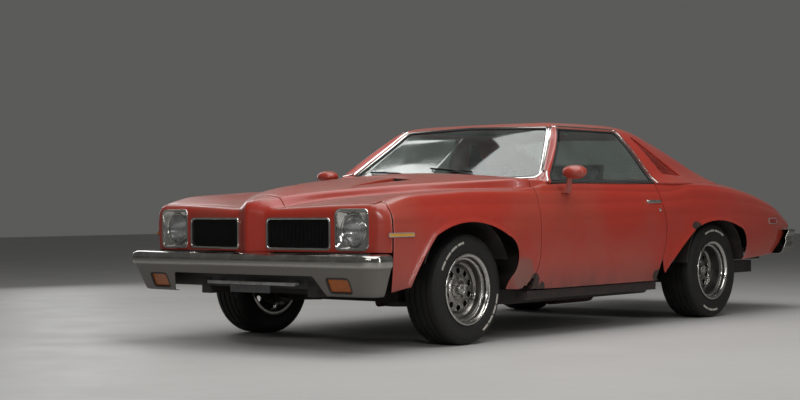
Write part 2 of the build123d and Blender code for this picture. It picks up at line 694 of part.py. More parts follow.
# Floor pan with tunnel, rockers, firewall, rear bulkhead and shelf
FLOOR_Z = 290
PAN = 14
SILL_FRONT_Y = -900
SILL_X = 838
ROCKER_X = 915
FLOOR_LINE = ((-985, FLOOR_Z), (540, FLOOR_Z), (700, 492), (1540, 492), (1800, 378), (2484, 378))
TUNNEL_X = 130
TUNNEL_TOP = 480
BULKHEAD_Y = 840
SHELF_Z = 926
PAN_X = 575
with BuildPart() as floor_pan:
    add(side_prism(FLOOR_LINE + tuple((y, z + PAN) for y, z in reversed(FLOOR_LINE)), -PAN_X, PAN_X))
    for side in (1, -1):
        add(block(tuple(sorted((side * PAN_X, side * 780))), (-985, 510), (FLOOR_Z, FLOOR_Z + PAN)))
        add(block(tuple(sorted((side * 780, side * 860))), (SILL_FRONT_Y, 510), (FLOOR_Z, FLOOR_Z + PAN)))
        add(block(tuple(sorted((side * SILL_X, side * ROCKER_X))), (-1090, 390), (236, 286)))
        add(block(tuple(sorted((side * SILL_X, side * (SILL_X + 20)))), (SILL_FRONT_Y, 390), (280, 390)))
    add(block((-TUNNEL_X, TUNNEL_X), (-985, 700), (FLOOR_Z, TUNNEL_TOP)))
    add(block((-790, 790), (-999, -985), (FLOOR_Z, BELT_Z - 15)))
    add(block((-PAN_X, PAN_X), (BULKHEAD_Y, BULKHEAD_Y + PAN), (500, SHELF_Z)))
    add(block((-700, 700), (BULKHEAD_Y, DECK_FRONT_Y), (SHELF_Z, SHELF_Z + PAN)))
    add(
        block((-TUNNEL_X + PAN, TUNNEL_X - PAN), (-1100, 700), (FLOOR_Z - 60, TUNNEL_TOP - PAN)),
        mode=Mode.SUBTRACT,
    )
keep("floor_pan", floor_pan)

# Wheelhouses over the rear wheels
HOUSE_WALL = 8
REAR_HOUSE_X = 580
REAR_HOUSE_R = 410
with BuildPart() as wheelhouses:
    for side in (1, -1):
        with BuildSketch(Plane.YZ.offset(side * REAR_HOUSE_X)):
            with Locations((REAR_AXLE_Y, REAR_HUB_Z)):
                Circle(REAR_HOUSE_R)
        extrude(amount=side * 325)
        with BuildSketch(Plane.YZ.offset(side * (REAR_HOUSE_X + HOUSE_WALL))):
            with Locations((REAR_AXLE_Y, REAR_HUB_Z)):
                Circle(REAR_HOUSE_R - HOUSE_WALL)
        extrude(amount=side * 360, mode=Mode.SUBTRACT)
    add(block((-1000, 1000), (0, 2500), (-200, 400)), mode=Mode.SUBTRACT)
keep("wheelhouses", wheelhouses)

# Perimeter frame with its cross members
RAIL = (
    (430, -2440, 345),
    (430, -1300, 345),
    (690, -1070, 245),
    (690, 560, 245),
    (490, 860, 440),
    (490, 1500, 440),
    (490, 1760, 320),
    (490, 2440, 320),
)
RAIL_SECTION = (76, 90)
with BuildPart() as chassis_frame:
    for side in (1, -1):
        points = [(side * x, y, z) for x, y, z in RAIL]
        with BuildLine():
            rail_line = FilletPolyline(*points, radius=90)
        with BuildSketch(Plane(origin=points[0], x_dir=(1, 0, 0), z_dir=(0, 1, 0))):
            Rectangle(*RAIL_SECTION)
        sweep()
    add(block((-430, 430), (-2280, -2200), (305, 385)))
    add(block((-430, 430), (-1700, -1560), (235, 322)))
    add(block((-690, 690), (-560, -480), (215, 275)))
    add(block((-490, 490), (2100, 2170), (290, 350)))
keep("chassis_frame", chassis_frame)

# Inner fenders and radiator support
FRONT_HOUSE_X = 478
FRONT_HOUSE_R = 425
BAY_TOP = 750
with BuildPart() as engine_bay:
    for side in (1, -1):
        with BuildSketch(Plane.YZ.offset(side * FRONT_HOUSE_X)):
            with Locations((FRONT_AXLE_Y, FRONT_HUB_Z)):
                Circle(FRONT_HOUSE_R)
        extrude(amount=side * 412)
        with BuildSketch(Plane.YZ.offset(side * (FRONT_HOUSE_X + HOUSE_WALL))):
            with Locations((FRONT_AXLE_Y, FRONT_HUB_Z)):
                Circle(FRONT_HOUSE_R - HOUSE_WALL)
        extrude(amount=side * 420, mode=Mode.SUBTRACT)
        add(block((-1000, 1000), (-2200, -1000), (-200, 484)), mode=Mode.SUBTRACT)
    for side in (1, -1):
        wall = sorted((side * FRONT_HOUSE_X, side * (FRONT_HOUSE_X + HOUSE_WALL)))
        add(block(tuple(wall), (-2300, -1005), (484, BAY_TOP)))
    add(block((-FRONT_HOUSE_X - HOUSE_WALL, FRONT_HOUSE_X + HOUSE_WALL), (-2312, -2300), (400, BAY_TOP)))
keep("engine_bay", engine_bay)

ENGINE_BOX = ((-290, 290), (-1990, -1260), (330, 860))
with BuildPart() as engine:
    add(block(*ENGINE_BOX))
keep("engine", engine)

# Interior
SEAT_X = 395
STEER_CENTRE = (SEAT_X, -500, 850)
COLUMN_TILT = 25
steer_plane = Plane(
    origin=STEER_CENTRE, x_dir=(1, 0, 0), z_dir=(0, cos(radians(COLUMN_TILT)), sin(radians(COLUMN_TILT)))
)
DASH_VIEW = ((-900, 700), (-900, 905), (-760, 905), (-620, 890), (-600, 820), (-640, 640), (-700, 600))
with BuildPart() as dashboard:
    add(side_prism(DASH_VIEW, -800, 800))
    with Locations(steer_plane):
        Cylinder(26, 420, mode=Mode.SUBTRACT)
keep("dashboard", dashboard)

SEAT_WIDTH = 500
SEAT_BASE_VIEW = ((-480, 304), (-480, 500), (-440, 530), (60, 490), (60, 304))
SEAT_BACK_VIEW = ((-20, 470), (110, 470), (250, 1080), (165, 1092), (120, 1040))
with BuildPart() as front_seats:
    for side in (1, -1):
        low = side * SEAT_X - SEAT_WIDTH / 2
        add(side_prism(SEAT_BASE_VIEW, low, low + SEAT_WIDTH))
        add(side_prism(SEAT_BACK_VIEW, low, low + SEAT_WIDTH))
keep("front_seats", front_seats)

REAR_SEAT_VIEW = (
    (420, 304),
    (420, 480),
    (470, 512),
    (690, 530),
    (790, 924),
    (838, 924),
    (838, 506),
    (692, 506),
    (532, 304),
)
with BuildPart() as rear_seat:
    add(side_prism(REAR_SEAT_VIEW, -565, 565))
    add(block((-TUNNEL_X - 2, TUNNEL_X + 2), (300, 712), (200, TUNNEL_TOP + 2)), mode=Mode.SUBTRACT)
keep("rear_seat", rear_seat)

# Wheels and tyres, many-sided rings about the axle
RIM_R = 208
RING_SIDES = 32
WHEEL_HOLES = 10
HOLE_CIRCLE = 108
HOLE_R = 19
BARREL_R = 189.4
FLANGE = 9


def ring_band(centre, side, rows):
    """Many-sided solid round the axle through rows of distance outward along it and radius."""
    x, y, z = centre
    with BuildPart() as band:
        for across, radius in rows:
            with BuildSketch(Plane.YZ.offset(x + side * across)):
                with Locations((y, z)):
                    RegularPolygon(radius, RING_SIDES)
        loft(ruled=True)
    return band.part


def tyre_solid(centre, tyre_r, half_width):
    """Tyre as a ring: two sidewall bands, shoulder and tread on each side, round the rim's bore."""
    half = (
        (half_width - 13, RIM_R + 4),
        (half_width, (RIM_R + tyre_r) / 2 + 4),
        (half_width - 14, tyre_r - 12),
        (half_width - 36, tyre_r),
    )
    rows = [(-across, radius) for across, radius in half] + list(reversed(half))
    with BuildPart() as tyre:
        add(ring_band(centre, 1, rows))
        add(ring_band(centre, 1, ((-half_width, RIM_R - 18), (half_width, RIM_R - 18))), mode=Mode.SUBTRACT)
    return tyre.part


def wheel_solid(centre, half_width, recess, side):
    """Deep steel wheel: flanges, stepped barrel, dished disc with round holes and a centre cap."""
    out = half_width
    face = out - recess
    x, y, z = centre
    with BuildPart() as wheel:
        add(ring_band(centre, side, ((-out, BARREL_R), (out, BARREL_R))))
        add(ring_band(centre, side, ((-out, RIM_R), (-out + FLANGE, RIM_R))))
        add(ring_band(centre, side, ((out - FLANGE, RIM_R), (out, RIM_R))))
        add(
            ring_band(
                centre, side, ((face - 12, 146), (face, 160), (out - 40, 166), (out - 34, 182), (out, 188))
            ),
            mode=Mode.SUBTRACT,
        )
        add(ring_band(centre, side, ((-out, 180), (face - 50, 168), (face - 26, 120))), mode=Mode.SUBTRACT)
        add(ring_band(centre, side, ((face - 14, 140), (face, 130))))
        add(ring_band(centre, side, ((face - 14, 84), (face + 6, 78))))
        add(ring_band(centre, side, ((face, 44), (face + 34, 34))))
        with BuildSketch(Plane.YZ.offset(x + side * (face - 40))):
            with Locations((y, z)):
                with PolarLocations(HOLE_CIRCLE, WHEEL_HOLES):
                    RegularPolygon(HOLE_R, 8)
        extrude(amount=side * 80, mode=Mode.SUBTRACT)
    return wheel.part


WHEELS = (
    ("front_left", (FRONT_WHEEL_X, FRONT_AXLE_Y, FRONT_HUB_Z), FRONT_HUB_Z, 118, 76, 1),
    ("front_right", (-FRONT_WHEEL_X, FRONT_AXLE_Y, FRONT_HUB_Z), FRONT_HUB_Z, 118, 76, -1),
    ("rear_left", (REAR_WHEEL_X, REAR_AXLE_Y, REAR_HUB_Z), REAR_HUB_Z, 128, 112, 1),
    ("rear_right", (-REAR_WHEEL_X, REAR_AXLE_Y, REAR_HUB_Z), REAR_HUB_Z, 128, 112, -1),
)
for corner, centre, tyre_r, half_width, recess, side in WHEELS:
    with BuildPart() as tyre:
        add(tyre_solid(centre, tyre_r, half_width))
    keep("tyre_" + corner, tyre)
    with BuildPart() as wheel:
        add(wheel_solid(centre, half_width - 4, recess, side))
    keep("wheel_" + corner, wheel)

# Steering knuckles with their spindles and brake discs
SPINDLE_END_X = 788
KINGPIN_LOW = 206
KINGPIN_HIGH = 462
KINGPIN_R = 17
SPINDLE_R = 28
DISC_R = 135
with BuildPart() as knuckle_left:
    with BuildSketch(Plane.XY.offset(KINGPIN_LOW)):
        with Locations((KINGPIN_X, FRONT_AXLE_Y)):
            Circle(KINGPIN_R)
    extrude(amount=KINGPIN_HIGH - KINGPIN_LOW)
    with BuildSketch(Plane.YZ.offset(KINGPIN_X - 24)):
        with Locations((FRONT_AXLE_Y, FRONT_HUB_Z)):
            Circle(SPINDLE_R)
    extrude(amount=SPINDLE_END_X - KINGPIN_X + 24)
    with BuildSketch(Plane.YZ.offset(KINGPIN_X + 21)):
        with Locations((FRONT_AXLE_Y, FRONT_HUB_Z)):
            RegularPolygon(DISC_R, 24)
    extrude(amount=22)
keep("knuckle_left", knuckle_left)

# Control arms carried by the frame
ARM_TIP_X = KINGPIN_X - 36
ARM_ROOT_X = 400
ARM_SPREAD = 150
ARM_LEVELS = (228, 446)
ARM_HALF = 13
with BuildPart() as front_suspension:
    for side in (1, -1):
        for arm_z in ARM_LEVELS:
            arm = (
                (ARM_TIP_X, -18),
                (ARM_TIP_X, 18),
                (468, ARM_SPREAD),
                (ARM_ROOT_X, ARM_SPREAD),
                (560, 0),
                (ARM_ROOT_X, -ARM_SPREAD),
                (468, -ARM_SPREAD),
            )
            outline = [(side * x, FRONT_AXLE_Y + y) for x, y in arm]
            add(plan_prism(outline, arm_z - ARM_HALF, arm_z + ARM_HALF))
keep("front_suspension", front_suspension)

# Live rear axle with its differential and propeller shaft
DRUM_R = 130
AXLE_TUBE_R = 38
SHAFT_R = 36
DIFFERENTIAL_ROWS = ((-150, 60), (-60, 135), (50, 135), (115, 85))
with BuildPart() as rear_axle:
    with BuildSketch(Plane.YZ.offset(-REAR_WHEEL_X + 20)):
        with Locations((REAR_AXLE_Y, REAR_HUB_Z)):
            Circle(AXLE_TUBE_R)
    extrude(amount=2 * REAR_WHEEL_X - 40)
    for side in (1, -1):
        with BuildSketch(Plane.YZ.offset(side * 655)):
            with Locations((REAR_AXLE_Y, REAR_HUB_Z)):
                RegularPolygon(DRUM_R, 24)
        extrude(amount=side * 50)
    for along, radius in DIFFERENTIAL_ROWS:
        with BuildSketch(Plane.XZ.offset(-REAR_AXLE_Y - along)):
            with Locations((0, REAR_HUB_Z)):
                RegularPolygon(radius, 16)
    loft(ruled=True)
    with BuildSketch(Plane.XZ.offset(-REAR_AXLE_Y + 100)):
        with Locations((0, REAR_HUB_Z)):
            Circle(SHAFT_R)
    extrude(amount=1500)
keep("rear_axle", rear_axle)

# Exhaust and fuel tank
EXHAUST_X = 250
EXHAUST_Z = 182
EXHAUST_R = 27
MUFFLER_Z = 195
MUFFLER_R = 70
with BuildPart() as exhaust:
    for side in (1, -1):
        with BuildSketch(Plane.XZ.offset(1100)):
            with Locations((side * EXHAUST_X, EXHAUST_Z)):
                Circle(EXHAUST_R)
        extrude(amount=-2000)
        with BuildSketch(Plane.XZ.offset(-100)):
            with Locations((side * EXHAUST_X, MUFFLER_Z)):
                RegularPolygon(MUFFLER_R, 12)
        extrude(amount=-460)
keep("exhaust", exhaust)

TANK_BOX = ((-400, 400), (1640, 2080), (215, 370))
with BuildPart() as fuel_tank:
    add(block(*TANK_BOX))
keep("fuel_tank", fuel_tank)

# Steering wheel on its column
STEER_RING_R = 185
COLUMN_R = 20
ring_axis = Axis(STEER_CENTRE, (0, cos(radians(COLUMN_TILT)), sin(radians(COLUMN_TILT))))
ring_section = Plane(
    origin=STEER_CENTRE, x_dir=(1, 0, 0), z_dir=(0, -sin(radians(COLUMN_TILT)), cos(radians(COLUMN_TILT)))
)
with BuildPart() as steering_wheel:
    with BuildSketch(ring_section):
        with Locations((STEER_RING_R, 0)):
            RegularPolygon(13, 6)
    revolve(axis=ring_axis)
    with Locations(steer_plane):
        Cylinder(28, 40)
        Box(360, 26, 12)
        with Locations((0, 0, -75)):
            Cylinder(COLUMN_R, 130)
keep("steering_wheel", steering_wheel)

# Right-hand pieces mirror the left-hand ones
for name in ("fender", "quarter", "door", "door_glass", "mirror", "knuckle"):
    with BuildPart() as right:
        mirror(PIECES[name + "_left"].part, about=Plane.YZ)
    keep(name + "_right", right)

for name, piece in PIECES.items():
    piece.part.label = name
    export_step(piece.part, f"parts/{name}.step")
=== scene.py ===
import json
import math
from collections import namedtuple

import bmesh
import bpy
import numpy as np
from mathutils import Matrix, Vector
from mathutils.geometry import delaunay_2d_cdt

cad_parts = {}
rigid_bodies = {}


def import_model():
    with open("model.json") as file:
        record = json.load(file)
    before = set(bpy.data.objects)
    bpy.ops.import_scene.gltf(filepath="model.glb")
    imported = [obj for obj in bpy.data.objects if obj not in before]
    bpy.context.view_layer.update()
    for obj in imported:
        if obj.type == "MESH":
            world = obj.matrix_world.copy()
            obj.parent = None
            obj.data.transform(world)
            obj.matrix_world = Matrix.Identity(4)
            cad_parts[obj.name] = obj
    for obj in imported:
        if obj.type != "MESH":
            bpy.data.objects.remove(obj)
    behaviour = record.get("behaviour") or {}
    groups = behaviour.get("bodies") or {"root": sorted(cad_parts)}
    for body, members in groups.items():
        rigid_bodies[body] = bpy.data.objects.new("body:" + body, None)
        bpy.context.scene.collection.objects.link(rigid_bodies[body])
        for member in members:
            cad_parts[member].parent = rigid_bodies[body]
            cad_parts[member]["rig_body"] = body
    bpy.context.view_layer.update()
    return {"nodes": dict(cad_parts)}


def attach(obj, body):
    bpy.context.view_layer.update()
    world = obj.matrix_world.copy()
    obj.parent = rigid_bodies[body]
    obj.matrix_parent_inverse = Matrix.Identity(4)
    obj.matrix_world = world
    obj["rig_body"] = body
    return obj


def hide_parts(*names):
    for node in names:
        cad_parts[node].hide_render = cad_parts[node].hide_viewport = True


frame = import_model()
NODES = frame["nodes"]

# Shape tables are in millimetres, as the car's drawings are; meshes are made in metres.
MM = 0.001


# Numbers: smooth tables, rounded outlines and directions

TINY = 1e-9
# A rounded corner takes up at most this share of the lines beside it
CORNER_SHARE = 0.48


def unit(vectors):
    """Vectors at length 1."""
    return vectors / np.maximum(np.linalg.norm(vectors, axis=-1, keepdims=True), TINY)


def pairs(first, second):
    """Two columns, of which one may be a single number."""
    return np.stack(np.broadcast_arrays(first, second), 1)


def circle(count, radius=1.0):
    """Points round a circle, from angle 0."""
    turn = np.linspace(0, 2 * math.pi, count, endpoint=False)
    return radius * pairs(np.cos(turn), np.sin(turn))


def ease(t):
    """Smooth step from 0 to 1."""
    t = np.clip(t, 0, 1)
    return t * t * (3 - 2 * t)


def span_of(knots, at):
    """Which stretch between knots each place is in, and its share of the way along it."""
    index = np.clip(np.searchsorted(knots, at, side="right") - 1, 0, len(knots) - 2)
    return index, (at - knots[index]) / (knots[index + 1] - knots[index])


def smooth_rows(keys, rows, at):
    """Monotone cubic interpolation of rows (keys by columns) at the given places."""
    y = np.asarray(rows, float)
    step = np.diff(keys)[:, None]
    slope = np.diff(y, axis=0) / step
    with np.errstate(divide="ignore", invalid="ignore"):
        w1 = 2 * step[1:] + step[:-1]
        w2 = step[1:] + 2 * step[:-1]
        harmonic = (w1 + w2) / (w1 / slope[:-1] + w2 / slope[1:])
    inner = np.where(slope[:-1] * slope[1:] > 0, harmonic, 0)
    tangent = np.vstack([slope[:1], inner, slope[-1:]])
    cell, share = span_of(keys, np.clip(at, keys[0], keys[-1]))
    h = step[cell]
    t = share[:, None]
    return (
        y[cell] * (2 * t**3 - 3 * t**2 + 1)
        + tangent[cell] * h * (t**3 - 2 * t**2 + t)
        + y[cell + 1] * (3 * t**2 - 2 * t**3)
        + tangent[cell + 1] * h * (t**3 - t**2)
    )


def corner_curve(t, start, corner, end):
    """Point of a soft corner, for t from 0 at its start to 1 at its end."""
    return (1 - t) ** 2 * start + 2 * t * (1 - t) * corner + t**2 * end


def rounded_walk(points, trims, knots, at):
    """Walks along n polylines of k points with rounded corners.

    points is (n, k, 2), trims (k,) or (n, k) says how far from each point its corner starts, and at is
    the n places in the knots' scale.
    """
    segment, local = span_of(knots, at)
    index = np.arange(len(at))
    count = points.shape[1]
    trims = np.broadcast_to(trims, (len(at), count))
    first = points[index, segment]
    last = points[index, segment + 1]
    length = np.maximum(np.linalg.norm(last - first, axis=1), 1e-6)
    along = (last - first) / length[:, None]
    run = local * length
    result = first + along * run[:, None]
    trim_first = np.where(segment > 0, trims[index, segment], 0)
    trim_last = np.where(segment < count - 2, trims[index, segment + 1], 0)
    before = points[index, np.maximum(segment - 1, 0)]
    after = points[index, np.minimum(segment + 2, count - 1)]
    for corner, beyond, inward, trim, distance in (
        (first, before, along, trim_first, run),
        (last, after, -along, trim_last, length - run),
    ):
        cut = np.minimum(trim, CORNER_SHARE * length)
        reach = np.minimum(trim, CORNER_SHARE * np.linalg.norm(beyond - corner, axis=1))
        start = corner + unit(beyond - corner) * reach[:, None]
        t = (0.5 + 0.5 * distance / np.maximum(cut, 1e-6))[:, None]
        curve = corner_curve(t, start, corner, corner + inward * cut[:, None])
        result = np.where((distance < cut)[:, None], curve, result)
    return result


def round_outline(points, radius, steps=6, closed=True):
    """Outline with its corners rounded; radius is one number or one for each point."""
    pts = [np.array(p, float) for p in points]
    count = len(pts)
    radii = radius if hasattr(radius, "__len__") else [radius] * count
    out = []
    for i, p in enumerate(pts):
        r = radii[i]
        if r <= 0 or (not closed and i in (0, count - 1)):
            out.append(p)
            continue
        a = pts[i - 1] - p
        b = pts[(i + 1) % count] - p
        la, lb = np.linalg.norm(a), np.linalg.norm(b)
        angle = math.acos(np.clip(np.dot(a, b) / (la * lb), -1, 1))
        cut = min(r / max(math.tan(angle / 2), 1e-3), 0.45 * la, 0.45 * lb)
        start, end = p + a / la * cut, p + b / lb * cut
        out += [corner_curve(k / steps, start, p, end) for k in range(steps + 1)]
    return np.array(out)


def arc_points(a, b, c, count=16):
    """Points of the arc through three points, from the first to the last."""
    a, b, c = (np.array(p, float) for p in (a, b, c))
    d = 2 * (a[0] * (b[1] - c[1]) + b[0] * (c[1] - a[1]) + c[0] * (a[1] - b[1]))
    sq = [p @ p for p in (a, b, c)]
    centre = np.array([
        (sq[0] * (b[1] - c[1]) + sq[1] * (c[1] - a[1]) + sq[2] * (a[1] - b[1])) / d,
        (sq[0] * (c[0] - b[0]) + sq[1] * (a[0] - c[0]) + sq[2] * (b[0] - a[0])) / d,
    ])
    radius = np.linalg.norm(a - centre)
    t0, t1, t2 = (math.atan2(*(p - centre)[::-1]) for p in (a, b, c))
    turn = (t2 - t0) % (2 * math.pi)
    if (t1 - t0) % (2 * math.pi) > turn:
        turn -= 2 * math.pi
    angles = t0 + np.linspace(0, turn, count)
    return centre + radius * np.stack([np.cos(angles), np.sin(angles)], 1)


def resample(points, spacing, closed=True):
    """Points at about equal steps along a line, keeping its corners."""
    pts = np.asarray(points, float)
    loop = np.vstack([pts, pts[:1]]) if closed else pts
    out = []
    for a, b in zip(loop[:-1], loop[1:]):
        n = max(1, int(math.ceil(np.linalg.norm(b - a) / spacing)))
        out.extend(a + (b - a) * k / n for k in range(n))
    if not closed:
        out.append(loop[-1])
    return np.array(out)


def inside(points, loop):
    """Which points lie inside a closed outline."""
    x, y = points[:, :1], points[:, 1:]
    a, b = loop, np.roll(loop, -1, axis=0)
    crosses = (a[:, 1] > y) != (b[:, 1] > y)
    with np.errstate(divide="ignore", invalid="ignore"):
        at = (b[:, 0] - a[:, 0]) * (y - a[:, 1]) / (b[:, 1] - a[:, 1]) + a[:, 0]
    return (np.sum(crosses & (x < at), axis=1) % 2) == 1


def distance_to(points, loop, closed=True):
    """Distance of each point to a line."""
    a = loop if closed else loop[:-1]
    b = np.roll(loop, -1, axis=0) if closed else loop[1:]
    best = np.full(len(points), 1e9)
    for p, q in zip(a, b):
        d = q - p
        t = np.clip(((points - p) @ d) / max(d @ d, 1e-9), 0, 1)
        best = np.minimum(best, np.linalg.norm(points - (p + t[:, None] * d), axis=1))
    return best


def run_along(points):
    """Length along a line up to each of its points."""
    return np.concatenate([[0], np.cumsum(np.linalg.norm(np.diff(points, axis=0), axis=1))])


def bisect(function, target, low, high, rising):
    """Solves function(v) = target for arrays, on a stretch where it rises or falls."""
    a = np.full(len(target), float(low))
    b = np.full(len(target), float(high))
    for _ in range(40):
        mid = (a + b) / 2
        below = (function(mid) < target) == rising
        a = np.where(below, mid, a)
        b = np.where(below, b, mid)
    return (a + b) / 2


# Meshes

SHADE_ANGLE = 35
BEVEL_ANGLE = 40


def add_object(name, data):
    """A new object in the scene."""
    obj = bpy.data.objects.new(name, data)
    bpy.context.scene.collection.objects.link(obj)
    return obj


def shade(obj, angle=SHADE_ANGLE):
    """Smooth shading that keeps edges sharper than the angle."""
    mesh = obj.data
    mesh.polygons.foreach_set("use_smooth", [True] * len(mesh.polygons))
    bm = bmesh.new()
    bm.from_mesh(mesh)
    bmesh.ops.recalc_face_normals(bm, faces=bm.faces)
    limit = math.radians(angle)
    for edge in bm.edges:
        edge.smooth = len(edge.link_faces) == 2 and edge.calc_face_angle(0) < limit
    bm.to_mesh(mesh)
    bm.free()


def mesh_object(name, verts, faces, smooth_angle=SHADE_ANGLE):
    """A mesh object from vertices in millimetres."""
    mesh = bpy.data.meshes.new(name)
    mesh.from_pydata([tuple(v) for v in np.asarray(verts, float) * MM], [], faces)
    mesh.validate()
    obj = add_object(name, mesh)
    shade(obj, smooth_angle)
    return obj


def apply_modifiers(obj):
    """Makes the modifiers' result the object's own mesh."""
    graph = bpy.context.evaluated_depsgraph_get()
    mesh = bpy.data.meshes.new_from_object(obj.evaluated_get(graph))
    obj.modifiers.clear()
    old = obj.data
    obj.data = mesh
    bpy.data.meshes.remove(old)


def bevel(obj, width, segments=2):
    """Rounds a piece's sharp edges and gives it back; a width of 0 leaves it as it is."""
    if width:
        mod = obj.modifiers.new("bevel", "BEVEL")
        mod.width = width * MM
        mod.segments = segments
        mod.limit_method = "ANGLE"
        mod.angle_limit = math.radians(BEVEL_ANGLE)
        apply_modifiers(obj)
        shade(obj)
    return obj


def triangulate(outer, holes, spacing, rows=None, columns=None):
    """Triangles that fill an outline with holes in a plane, on a regular grid inside."""
    loops = [resample(loop, spacing) for loop in (outer, *holes)]
    low, high = loops[0].min(0), loops[0].max(0)
    if columns is None:
        columns = np.arange(low[0] + spacing / 2, high[0], spacing)
    if rows is None:
        rows = np.arange(low[1] + spacing / 2, high[1], spacing)

    def filled(points):
        keep = inside(points, loops[0])
        for hole in loops[1:]:
            keep &= ~inside(points, hole)
        return keep

    grid = np.stack(np.meshgrid(columns, rows, indexing="ij"), -1).reshape(-1, 2)
    grid = grid[filled(grid)]
    edges = []
    start = 0
    for loop in loops:
        grid = grid[distance_to(grid, loop) > 0.4 * spacing]
        n = len(loop)
        edges += [(start + i, start + (i + 1) % n) for i in range(n)]
        start += n
    flat = [Vector(p) for p in np.vstack([*loops, grid])]
    verts, _, faces, *_ = delaunay_2d_cdt(flat, edges, [], 0, 1e-5)
    verts = np.array([tuple(v) for v in verts])
    faces = np.array([tuple(f) for f in faces if len(f) == 3])
    return verts, faces[filled(verts[faces].mean(1))]


def surface_normals(mapping, params, step):
    """Unit normals of a surface by central differences."""
    a, b = (mapping(params + way) - mapping(params - way) for way in ((step, 0), (0, step)))
    return unit(np.cross(a, b))


def skin_normals(points, faces):
    """Unit normals of a triangle skin's points."""
    a, b, c = (points[faces[:, i]] for i in range(3))
    face = np.cross(b - a, c - a)
    normals = np.zeros_like(points)
    for i in range(3):
        np.add.at(normals, faces[:, i], face)
    return unit(normals)


def skin_faces(faces, open_at):
    """Faces of a sheet's two skins and of its rim, left open between the points that open_at marks."""
    n = len(open_at)
    top = [tuple(f) for f in faces.tolist()]
    sides = {(f[i], f[(i + 1) % 3]): None for f in top for i in range(3)}
    rim = [(a, b) for a, b in sides if (b, a) not in sides and not (open_at[a] and open_at[b])]
    return top + [tuple(i + n for i in f[::-1]) for f in top] + [(b, a, a + n, b + n) for a, b in rim]


def closed_sheet(name, top, bottom, faces, edge=0):
    """Joins a top and a bottom skin along their free edges."""
    obj = mesh_object(name, np.vstack([top, bottom]), skin_faces(faces, np.zeros(len(top), bool)))
    return bevel(obj, edge)


def sheet(name, mapping, outer, holes=(), spacing=14, thickness=1.5, flip=False, rows=None, columns=None,
          lift=0, edge=0):
    """A curved panel of even thickness: an outline on a surface, with holes, as a closed mesh."""
    params, faces = triangulate(outer, holes, spacing, rows, columns)
    top = mapping(params)
    normals = skin_normals(top, faces) * (-1 if flip else 1)
    top = top + normals * lift
    return closed_sheet(name, top, top - normals * thickness, faces, edge)


# Points this near the middle, in millimetres, are put on it, and there the halves are joined
SEAM_SNAP = 4
SEAM_MERGE = 0.2


def half_sheet(name, mapping, outer, holes=(), spacing=18, thickness=20, lift=0, edge=0):
    """Like sheet, for a piece that is given as its left half and mirrored."""
    params, faces = triangulate(outer, holes, spacing)
    top = mapping(params)
    normals = skin_normals(top, faces)
    middle = np.abs(top[:, 0]) < SEAM_SNAP
    top[middle, 0] = 0
    normals[middle, 0] = 0
    normals = unit(normals)
    top = top + normals * lift
    verts = np.vstack([top, top - normals * thickness])
    half = skin_faces(faces, middle)
    other = [tuple(i + len(verts) for i in f[::-1]) for f in half]
    obj = mesh_object(name, np.vstack([verts, verts * (-1, 1, 1)]), half + other)
    bm = bmesh.new()
    bm.from_mesh(obj.data)
    seam = [v for v in bm.verts if abs(v.co.x) < SEAM_MERGE * MM]
    bmesh.ops.remove_doubles(bm, verts=seam, dist=SEAM_MERGE * MM)
    bm.to_mesh(obj.data)
    bm.free()
    shade(obj)
    return bevel(obj, edge)


def ring_stack(name, rings, loop=False, smooth_angle=SHADE_ANGLE):
    """Skin through rings of equally many points; loop joins the ends, which are closed off otherwise."""
    count = len(rings[0])
    total = len(rings)
    faces = []
    for i in range(total if loop else total - 1):
        j = (i + 1) % total
        for k in range(count):
            l = (k + 1) % count
            faces.append((i * count + k, i * count + l, j * count + l, j * count + k))
    if not loop:
        faces.append(tuple(reversed(range(count))))
        faces.append(tuple(range((total - 1) * count, total * count)))
    return mesh_object(name, np.vstack(rings), faces, smooth_angle)


def sweep(name, path, normals, profile, closed=False):
    """Sweeps a closed profile, given as (across, up) points, along a path with known up directions."""
    path = np.asarray(path, float)
    normals = np.asarray(normals, float)
    if closed:
        ahead = unit(np.roll(path, -1, 0) - np.roll(path, 1, 0))
    else:
        ahead = unit(np.gradient(path, axis=0))
    up = unit(normals - ahead * np.sum(normals * ahead, 1)[:, None])
    side = np.cross(ahead, up)
    profile = np.asarray(profile, float)
    if profile.ndim == 2:
        profile = np.tile(profile, (len(path), 1, 1))
    rings = path[:, None] + side[:, None] * profile[:, :, :1] + up[:, None] * profile[:, :, 1:]
    return ring_stack(name, rings, closed)


def surface_strip(name, mapping, params, profile, flip=False, closed=False):
    """Sweeps a profile along a line on a surface."""
    normals = surface_normals(mapping, params, 1.5) * (-1 if flip else 1)
    return sweep(name, mapping(params), normals, profile, closed)


def lathe(name, profile, centre, side=1, steps=96):
    """Turns a closed profile of (across, radius) points about an axis along X through a centre."""
    across, radius = np.asarray(profile, float).T
    rings = [np.stack([side * across, radius * c, radius * s], 1) + centre for c, s in circle(steps)]
    return ring_stack(name, rings, True, 32)


def turned(name, rows, centre, steps=64, loop=False, stretch=(1, 1)):
    """Turns rows of (y, radius) about a fore-and-aft axis through a centre (x, z)."""
    rings = []
    for y, radius in rows:
        x, z = (circle(steps, radius) * stretch + centre).T
        rings.append(np.stack([x, np.full(steps, float(y)), z], 1))
    return ring_stack(name, rings, loop)


BOX_FACES = ((0, 1, 3, 2), (4, 6, 7, 5), (0, 4, 5, 1), (2, 3, 7, 6), (0, 2, 6, 4), (1, 5, 7, 3))


def box_mesh(name, x, y, z, edge, segments=2):
    """A box between limits with rounded edges."""
    obj = mesh_object(name, [(i, j, k) for i in x for j in y for k in z], BOX_FACES)
    return bevel(obj, edge, segments)


PLANES = {"x": (1, 2, 0), "y": (0, 2, 1), "z": (0, 1, 2)}


